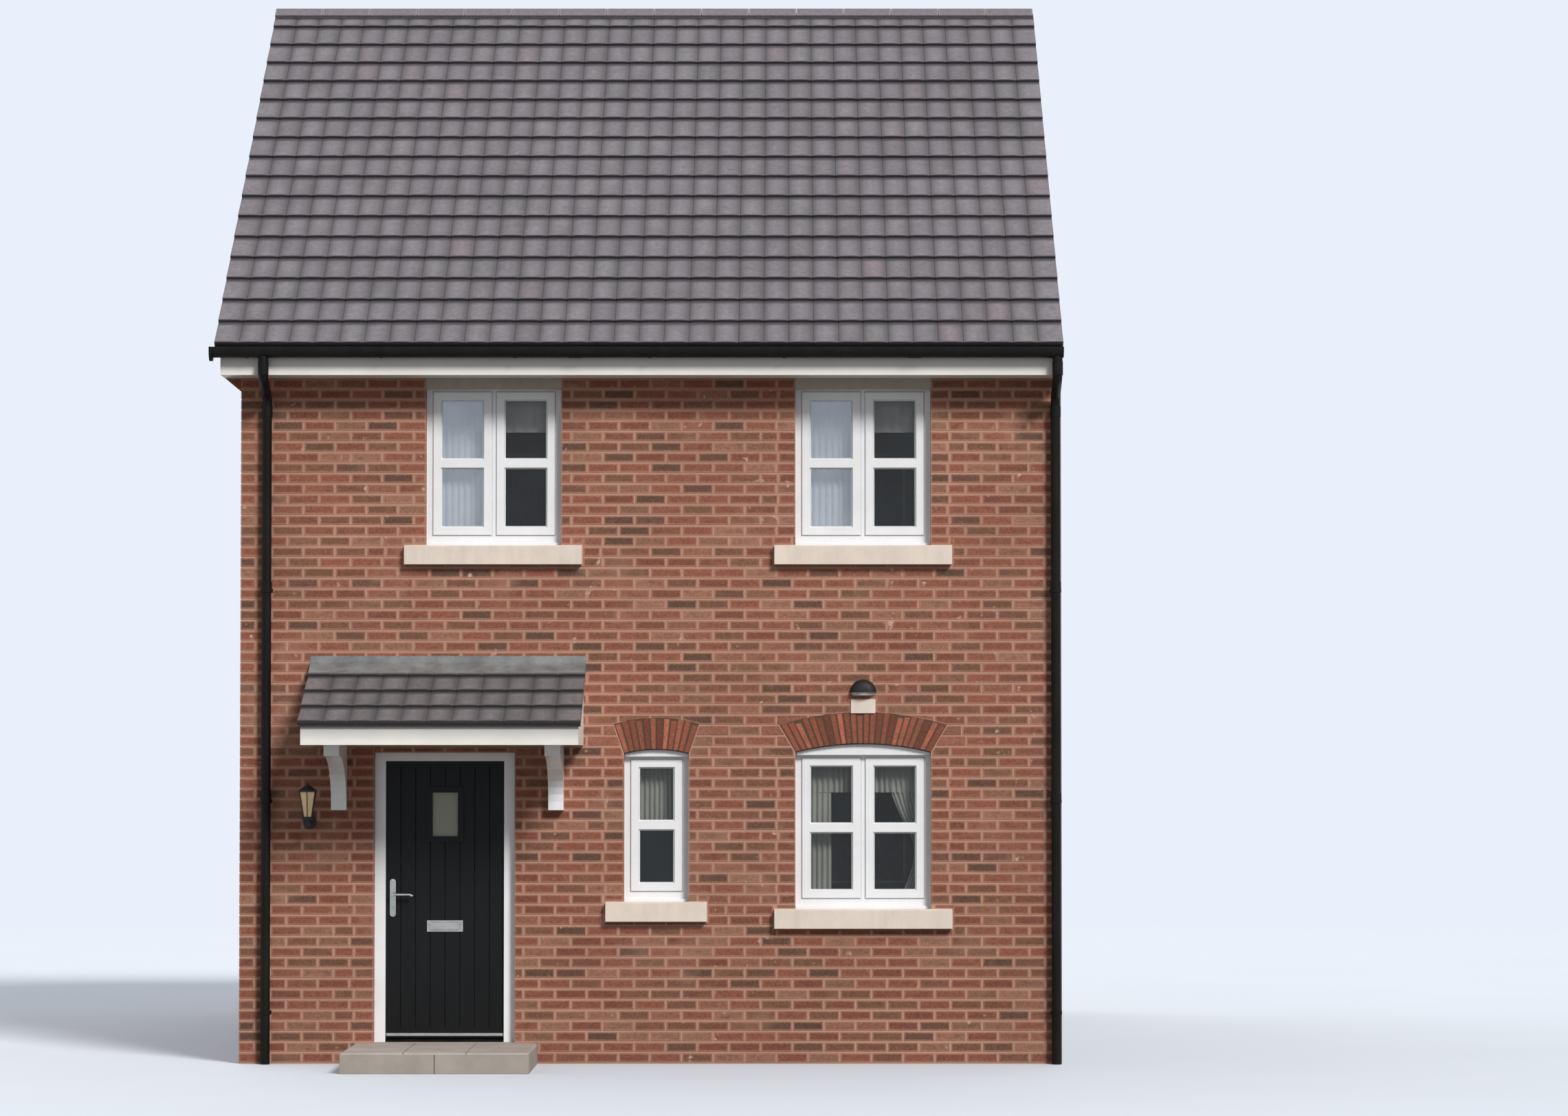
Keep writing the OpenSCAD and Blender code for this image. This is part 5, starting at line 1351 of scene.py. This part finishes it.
def gutters():
    """Black half-round gutters with stop ends, unions and brackets, front and back."""
    shape = Shape()
    x0, x1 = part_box("gutters")[0].x, PARTY_X
    outer, inner = 0.056, 0.053
    brackets = [GABLE_X + 0.060 + 0.95 * k for k in range(7)]
    # Each run's ends, its outer and inner radius, and how far it stands over the rim
    runs = [(x0 + 0.001, x1, outer, inner, 0.0)]
    runs += [(x, x + 0.026, outer + 0.003, outer - 0.0005, -0.008) for x in brackets]
    for x in (GABLE_X + 2.35, GABLE_X + 4.75):
        runs.append((x, x + 0.10, outer + 0.0028, outer - 0.0005, 0.0015))
    for side in (-1, 1):
        mid = side * GUTTER_Y
        for a, b, r_out, r_in, lift in runs:
            rows = []
            for x in (a, b):
                inside = gutter_ring(x, mid, side, r_in, lift)
                rows.append(gutter_ring(x, mid, side, r_out, lift) + inside[::-1])
            shape.loft(swapped(rows, side > 0))
        left_stop = (x0, x0 + 0.022, mid - side * 0.007, 0.067, 0.013)
        for a, b, y, radius, drop in (left_stop, (x1 - 0.006, x1, mid, outer, 0.0)):
            rows = [gutter_ring(x, y, side, radius, 0.0, drop) for x in (a, b)]
            shape.loft(swapped(rows, side > 0))
        for x in brackets:
            y0, y1 = sorted((side * 3.925, side * GUTTER_Y))
            shape.block((x, y0, 5.030), (x + 0.026, y1, 5.052))
    shape.build("gutter_runs", "rainwater", "rainwater", replaces=["gutters"], soft_angle=35)


class HOUSE_OT_rainwater(Operator):
    """Hang the gutters and the three downpipes"""

    bl_idname = "house.rainwater"
    bl_label = "Rainwater pipes"

    def execute(self, context):
        gutters()
        for place, side in (("corner", -1), ("party", -1), ("back", 1)):
            downpipe(f"{place}_pipe", f"{place}_downpipe", side)
        return {"FINISHED"}


# ---- Boards ----


class HOUSE_OT_boards(Operator):
    """Finish the white boards of the eaves, the verge and the canopy"""

    bl_idname = "house.boards"
    bl_label = "White boards"

    def execute(self, context):
        dress(
            white_board="bargeboards verge_soffit fascias eaves_soffits",
            canopy_board="canopy_body",
            white_frame="canopy_brackets",
            lead="canopy_flashing",
        )
        return {"FINISHED"}


# ---- Windows ----


def trim(shape, side, outer, inner, y_outer, y_inner, part=0):
    """Four mitred strips between two upright rectangles."""
    rows = []
    for (x0, x1, z0, z1), y in ((outer, side * y_outer), (inner, side * y_inner)):
        rows.append(shape.add([(x0, y, z0), (x1, y, z0), (x1, y, z1), (x0, y, z1)]))
    shape.strips(swapped(rows, side > 0), part=part)


def facing_name(w, side, piece):
    return f"{w.name}_{'front' if side < 0 else 'rear'}_{piece}"


def window_trim(w, side):
    """Chamfers of the casements, glazing beads and the dark seals beside them; round each casement
    the seal is widened as painted shade.
    """
    shape = Shape()
    face, frame_face = CASEMENT_Y + 0.0004, FRAME_Y + 0.0004
    bead = face - 0.0135
    for i in range(w.leaves):
        lap = grown(w.leaf(i), 0.006)
        seal_line = grown(lap, 0.003)
        # The grey strip round each casement is its seal, widened as painted shade where the casement
        # stands out from the frame
        trim(shape, side, grown(lap, 0.0095), seal_line, frame_face, frame_face, 1)
        trim(shape, side, seal_line, grown(lap, -0.002), frame_face, face)
        for pane in w.panes(i):
            inner = grown(pane, -0.007)
            trim(shape, side, pane, inner, face, bead)
            trim(shape, side, inner, grown(pane, -0.011), bead, bead - 0.0005, 1)
    edge = (w.mid - w.width / 2, w.mid + w.width / 2, w.foot, w.top)
    outer, inner = grown(edge, -0.0005), grown(edge, -0.006)
    trim(shape, side, outer, inner, frame_face + 0.004, frame_face)
    shape.build(facing_name(w, side, "trim"), "white_frame seal", "white_frame")


def arch_facing(w, side):
    """A packing board that fills the arch in front of the frame's head."""
    outline = [(x, max(z, w.top + 0.004)) for x, z in w.arch_line(w.half_angle - 0.0035, -0.003)]
    outline += [(outline[-1][0], w.top + 0.001), (outline[0][0], w.top + 0.001)]
    shape, rows = Shape(), []
    for y, chamfer in ((FRAME_Y - 0.003, 0), (WALL_Y - 0.034, 0), (WALL_Y - 0.031, 0.003)):
        rows.append([(x, side * y, z - chamfer * (z > w.top + 0.01)) for x, z in outline])
    shape.loft(turned(rows, side > 0))
    name = facing_name(w, side, "arch_facing")
    shape.build(name, "white_frame", "white_frame", soft_angle=30)


class HOUSE_OT_windows(Operator):
    """Finish the window frames, glass and boards, and add their beads and seals"""

    bl_idname = "house.windows"
    bl_label = "Windows"

    def execute(self, context):
        dress(
            white_frame="upper_window_frames lower_window_frames upper_casements lower_casements "
            "arch_boards",
            window_glass="lower_glass",
            upper_glass="upper_glass",
        )
        for side, w in EVERY_WINDOW:
            window_trim(w, side)
            if w.rise:
                arch_facing(w, side)
        return {"FINISHED"}


# ---- Curtains ----


def tied_back(low):
    """A curtain's two sides at a height, drawn to the right at its middle."""
    pull = 0.55 * math.exp(-(((low - 0.62) / 0.30) ** 2)) + 0.20 * low
    return (min(0.75, pull), 1.0)


def drawn(_low):
    """The same for a curtain that hangs straight, whatever the height."""
    return (0.0, 1.0)


def hang(name, rail, finish, x0, x1, top, foot, depth, fold, seed, sides=drawn):
    """A gathered cloth: folds that are tight at the rail and opener lower down. sides gives
    its two sides at a share of its height, as shares of its width."""
    rng, shape = random.Random(seed), Shape()
    rail_name, middle = rail
    folds = max(1, round((x1 - x0) / fold))
    phases = [rng.uniform(-0.7, 0.7) for _ in range(folds + 2)]
    across, down = folds * 10, max(8, int((top - foot) / 0.05))
    rows = []
    for j in range(down + 1):
        low = j / down
        left, right = sides(low)
        squeeze = right - left
        spread = depth * min(1.0, 0.65 + 0.5 * low) * (1.0 if squeeze > 0.7 else 1.15)
        row = []
        for i in range(across + 1):
            t = i / across
            k = t * folds
            phase = phases[int(k)] * (1 - k % 1) + phases[int(k) + 1] * (k % 1)
            swing = math.sin(2 * math.pi * k + phase * (0.4 + 0.6 * low))
            x = x0 + (x1 - x0) * (left + squeeze * t)
            x += 0.004 * math.cos(2 * math.pi * k + phase) * low
            row.append((x, middle + spread * swing, top + (foot - top) * low))
        rows.append(shape.add(row))
    for a, b in zip(rows, rows[1:]):
        for i in range(across):
            shape.face((a[i], b[i], b[i + 1], a[i + 1]))
    piece = shape.build(name, finish, "curtain", soft_angle=180)
    drop = top - foot
    cut = (sum(p.area for p in piece.data.polygons) / drop, drop)
    return piece


def window_cloths(w, side):
    """A slim rail inside the window's head, with a rounded face, and the space under it:
    gives the rail and the left, right, top and foot of what it carries."""
    half, top = w.width / 2 - 0.016, w.top - 0.016
    profile = [(-0.010, -0.018), (-0.013, -0.009), (-0.010, 0.0), (0.012, 0.0), (0.012, -0.018)]
    middle = -side * CURTAIN_Y
    shape = Shape()
    ends = (w.mid - half, w.mid + half)
    shape.loft([[(x, middle + dy, top + dz) for dy, dz in profile] for x in ends])
    rail = shape.build(facing_name(w, side, "rail"), "white_frame", "white_frame")
    half -= 0.004
    return (rail.name, middle), w.mid - half, w.mid + half, top - 0.002, w.foot + 0.018


class HOUSE_OT_curtains(Operator):
    """Hang the nets and curtains behind the front windows and drawn curtains at the back"""

    bl_idname = "house.curtains"
    bl_label = "Curtains"

    def execute(self, context):
        # Each cloth's last numbers are its folds' depth, their width and its seed
        for n, w in enumerate((UPPER_LEFT, UPPER_RIGHT)):
            rail, x0, x1, top, foot = window_cloths(w, -1)
            under = top - 0.02
            hang(f"{w.name}_pelmet", rail, "net", x0, x1, top, 4.508, 0.005, 0.09, 31 + n)
            hang(f"{w.name}_net", rail, "net", x0, w.mid - 0.01, under, foot, 0.009, 0.045, 33 + n)
            side = (x1 - 0.10, x1, under, foot, 0.011, 0.034)
            hang(f"{w.name}_side", rail, "curtain", *side, 35 + n)
        rail, x0, x1, top, foot = window_cloths(WIDE_FRONT, -1)
        pleats = (0.012, 0.040)
        hang("wide_valance", rail, "lower_net", x0, x1, top, 1.926, 0.013, 0.040, 41)
        left, right = (x0, x0 + 0.235, top - 0.02, foot), (x1 - 0.30, x1, top - 0.02, foot)
        hang("wide_left_curtain", rail, "curtain", *left, *pleats, 42)
        hang("wide_right_curtain", rail, "lower_net", *right, *pleats, 43, tied_back)
        rail, x0, x1, top, foot = window_cloths(NARROW_FRONT, -1)
        blind = (x0, x1, top, foot + 0.527)
        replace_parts(hang("narrow_net", rail, "lower_net", *blind, 0.011, 0.036, 44), "curtains")
        for n, w in enumerate(BACK_WINDOWS):
            rail, *space = window_cloths(w, 1)
            hang(f"{w.name}_rear_curtain", rail, "curtain", *space, 0.012, 0.05, 51 + n)
        return {"FINISHED"}


# ---- Front door ----


def plate_details():
    """Screw heads with their slots and the lock's keyway, on the outer handle plate."""
    low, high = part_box("handle_plates")
    x, mid, face = (low.x + high.x) / 2, (low.z + high.z) / 2, low.y + 0.003
    shape = Shape()

    def groove(wide, z0, z1, y0, y1):
        shape.block((x - wide, y0, z0), (x + wide, y1, z1), part=1)

    turns = [2 * math.pi * k / 20 for k in range(20)]
    for z in (mid - 0.119, mid + 0.119):
        rings = [
            [(x + r * math.cos(a), face - out, z + r * math.sin(a)) for a in turns]
            for r, out in ((0.0042, -0.0005), (0.0042, 0.0004), (0.0034, 0.0009))
        ]
        shape.loft(rings)
        groove(0.0033, z - 0.0005, z + 0.0005, face - 0.00105, face - 0.0008)
    groove(0.0009, mid - 0.073, mid - 0.063, low.y - 0.0002, low.y + 0.0002)
    finishes = "satin_steel rainwater"
    shape.build("plate_screws", finishes, "satin_steel", body="door", soft_angle=40)


class HOUSE_OT_front_door(Operator):
    """Finish the front door, its frame, its light and its furniture"""

    bl_idname = "house.front_door"
    bl_label = "Front door"

    def execute(self, context):
        dress(
            white_frame="door_frame",
            door_paint="door_leaf door_light_surround",
            frosted_glass="door_light_glass",
            satin_steel="handle_plates lever_handle frame_hinges leaf_hinges",
            satin_aluminium="letter_plate letter_flap weather_bar",
            rainwater="door_threshold",
        )
        plate_details()
        return {"FINISHED"}


# ---- Lights on the wall ----


def hooded_light():
    """A domed hood against the wall, open below over a ribbed lens."""
    low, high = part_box("wall_light")
    mid, foot = (low.x + high.x) / 2, low.z + 0.026
    wide, tall, deep = (high.x - low.x) / 2 - 0.001, high.z - foot, -WALL_Y - low.y
    turns = [(math.cos(a), math.sin(a)) for a in (math.pi * k / 24 for k in range(25))]
    shape, hood = Shape(), []
    for step in range(10):
        lean = math.pi / 2 * step / 9.5
        spread, y = math.cos(lean) ** 0.55, -WALL_Y - deep * math.sin(lean)
        hood.append([(mid + wide * spread * c, y, foot + tall * spread * s) for c, s in turns])
    shape.loft(turned(hood, True))
    for z0, z1, spread in ((foot - 0.018, foot, 0.90), (foot - 0.024, foot - 0.018, 0.80)):
        rows = [
            [(mid + wide * share * c, -WALL_Y - deep * share * 0.95 * s, z) for c, s in turns]
            for z, share in ((z0, spread - 0.03), (z1, spread))
        ]
        shape.loft(turned(rows, True), part=1)
    finishes, kept = "lantern_metal lamp_lens", ["wall_light"]
    shape.build("hooded_light", finishes, "dark_metal", replaces=kept, soft_angle=40)


class HOUSE_OT_wall_lights(Operator):
    """Finish the lantern beside the door and make the hooded light over the wide window"""

    bl_idname = "house.wall_lights"
    bl_label = "Wall lights"

    def execute(self, context):
        dress(lantern_metal="lantern_body", lantern_glass="lantern_glass")
        hooded_light()
        return {"FINISHED"}


# ---- Inside and step ----


class HOUSE_OT_inside(Operator):
    """Finish the floors, the ceiling, the party wall and the step"""

    bl_idname = "house.inside"
    bl_label = "Floors, party wall and step"

    def execute(self, context):
        dress(
            concrete="ground_floor",
            timber="first_floor",
            plaster="upper_ceiling",
            blockwork="party_wall",
            step_stone="door_step",
        )
        return {"FINISHED"}


# ---- Stage ----


def place_on_stage(name, data, location=(0, 0, 0), turn=(0, 0, 0)):
    made = bpy.data.objects.new(name, data)
    made.location, made.rotation_euler = location, turn
    bpy.context.scene.collection.objects.link(made)
    return made


def background(w, s):
    """A pale backdrop for what sees it, and the light of sky and ground for all else."""
    x, y, z = w.axes(w.node("ShaderNodeTexCoord", output="Generated"))
    strength = w.range(z, s.ground_strength, s.sky_strength, -0.04, 0.04)
    strength = strength + w.range(y - 0.6 * x, 0, s.back_strength, 0.05, 1.1) * (z > 0)
    light = w.node("ShaderNodeBackground", None, {0: (0.93, 0.96, 1.0), 1: strength})
    backdrop = w.node("ShaderNodeBackground", None, {0: paint(234, 240, 251), 1: 1.0})
    mixed = w.node("ShaderNodeMixShader", None, {0: w.seen(), 1: light, 2: backdrop})
    w.node("ShaderNodeOutputWorld", None, {0: mixed})


class HOUSE_OT_stage(Operator):
    """Set the floor, the background, the lamps and the camera"""

    bl_idname = "house.stage"
    bl_label = "Stage"

    def execute(self, context):
        scene, s = context.scene, context.scene.house_stage
        floor, reach = bpy.data.meshes.new("floor"), 30
        corners = ((-reach, -reach), (reach, -reach), (reach, reach), (-reach, reach))
        floor.from_pydata([(x, y, -0.001) for x, y in corners], [], [(0, 1, 2, 3)])
        floor.materials.append(finish_of("stage_floor"))
        place_on_stage("floor", floor)

        lamp = bpy.data.lights.new("sun", "SUN")
        lamp.energy, lamp.angle, lamp.color = s.sun_strength, s.sun_size, (1.0, 0.975, 0.94)
        place_on_stage("sun", lamp, turn=(math.pi / 2 - s.sun_height, 0, s.sun_side))

        scene.world = bpy.data.worlds.new("studio")
        scene.world.use_nodes = True
        background(Nodes(scene.world.node_tree), s)

        lens = bpy.data.cameras.new("camera")
        lens.lens, lens.sensor_width, lens.shift_y, lens.clip_end = s.lens, 36, s.shift, 300
        place = (s.camera_x, -s.camera_distance, s.camera_height)
        turn = (math.pi / 2 + s.camera_tilt, 0, 0)
        scene.camera = place_on_stage("camera", lens, place, turn)
        scene.view_settings.view_transform = "Standard"
        return {"FINISHED"}


# ---- Add-on ----

STEPS = [
    HOUSE_OT_stage,
    HOUSE_OT_brickwork,
    HOUSE_OT_roof,
    HOUSE_OT_rainwater,
    HOUSE_OT_boards,
    HOUSE_OT_windows,
    HOUSE_OT_curtains,
    HOUSE_OT_front_door,
    HOUSE_OT_wall_lights,
    HOUSE_OT_inside,
]


class HOUSE_PT_panel(Panel):
    """Buttons for the house's pieces and its stage."""

    bl_idname = "HOUSE_PT_panel"
    bl_label = "Brick End House"
    bl_space_type = "VIEW_3D"
    bl_region_type = "UI"
    bl_category = "House"

    def draw(self, context):
        for step in STEPS:
            self.layout.operator(step.bl_idname)


GROUPS = {"house_sizes": HouseSizes, "house_colours": HouseColours, "house_stage": StageSettings}
CLASSES = [*GROUPS.values(), *STEPS, HOUSE_PT_panel]


def register():
    for kind in CLASSES:
        bpy.utils.register_class(kind)
    for name, group in GROUPS.items():
        setattr(bpy.types.Scene, name, PointerProperty(type=group))


def unregister():
    for name in GROUPS:
        delattr(bpy.types.Scene, name)
    for kind in reversed(CLASSES):
        bpy.utils.unregister_class(kind)


def main():
    register()
    for step in STEPS:
        prefix, name = step.bl_idname.split(".")
        getattr(getattr(bpy.ops, prefix), name)()


if __name__ == "__main__":
    main()
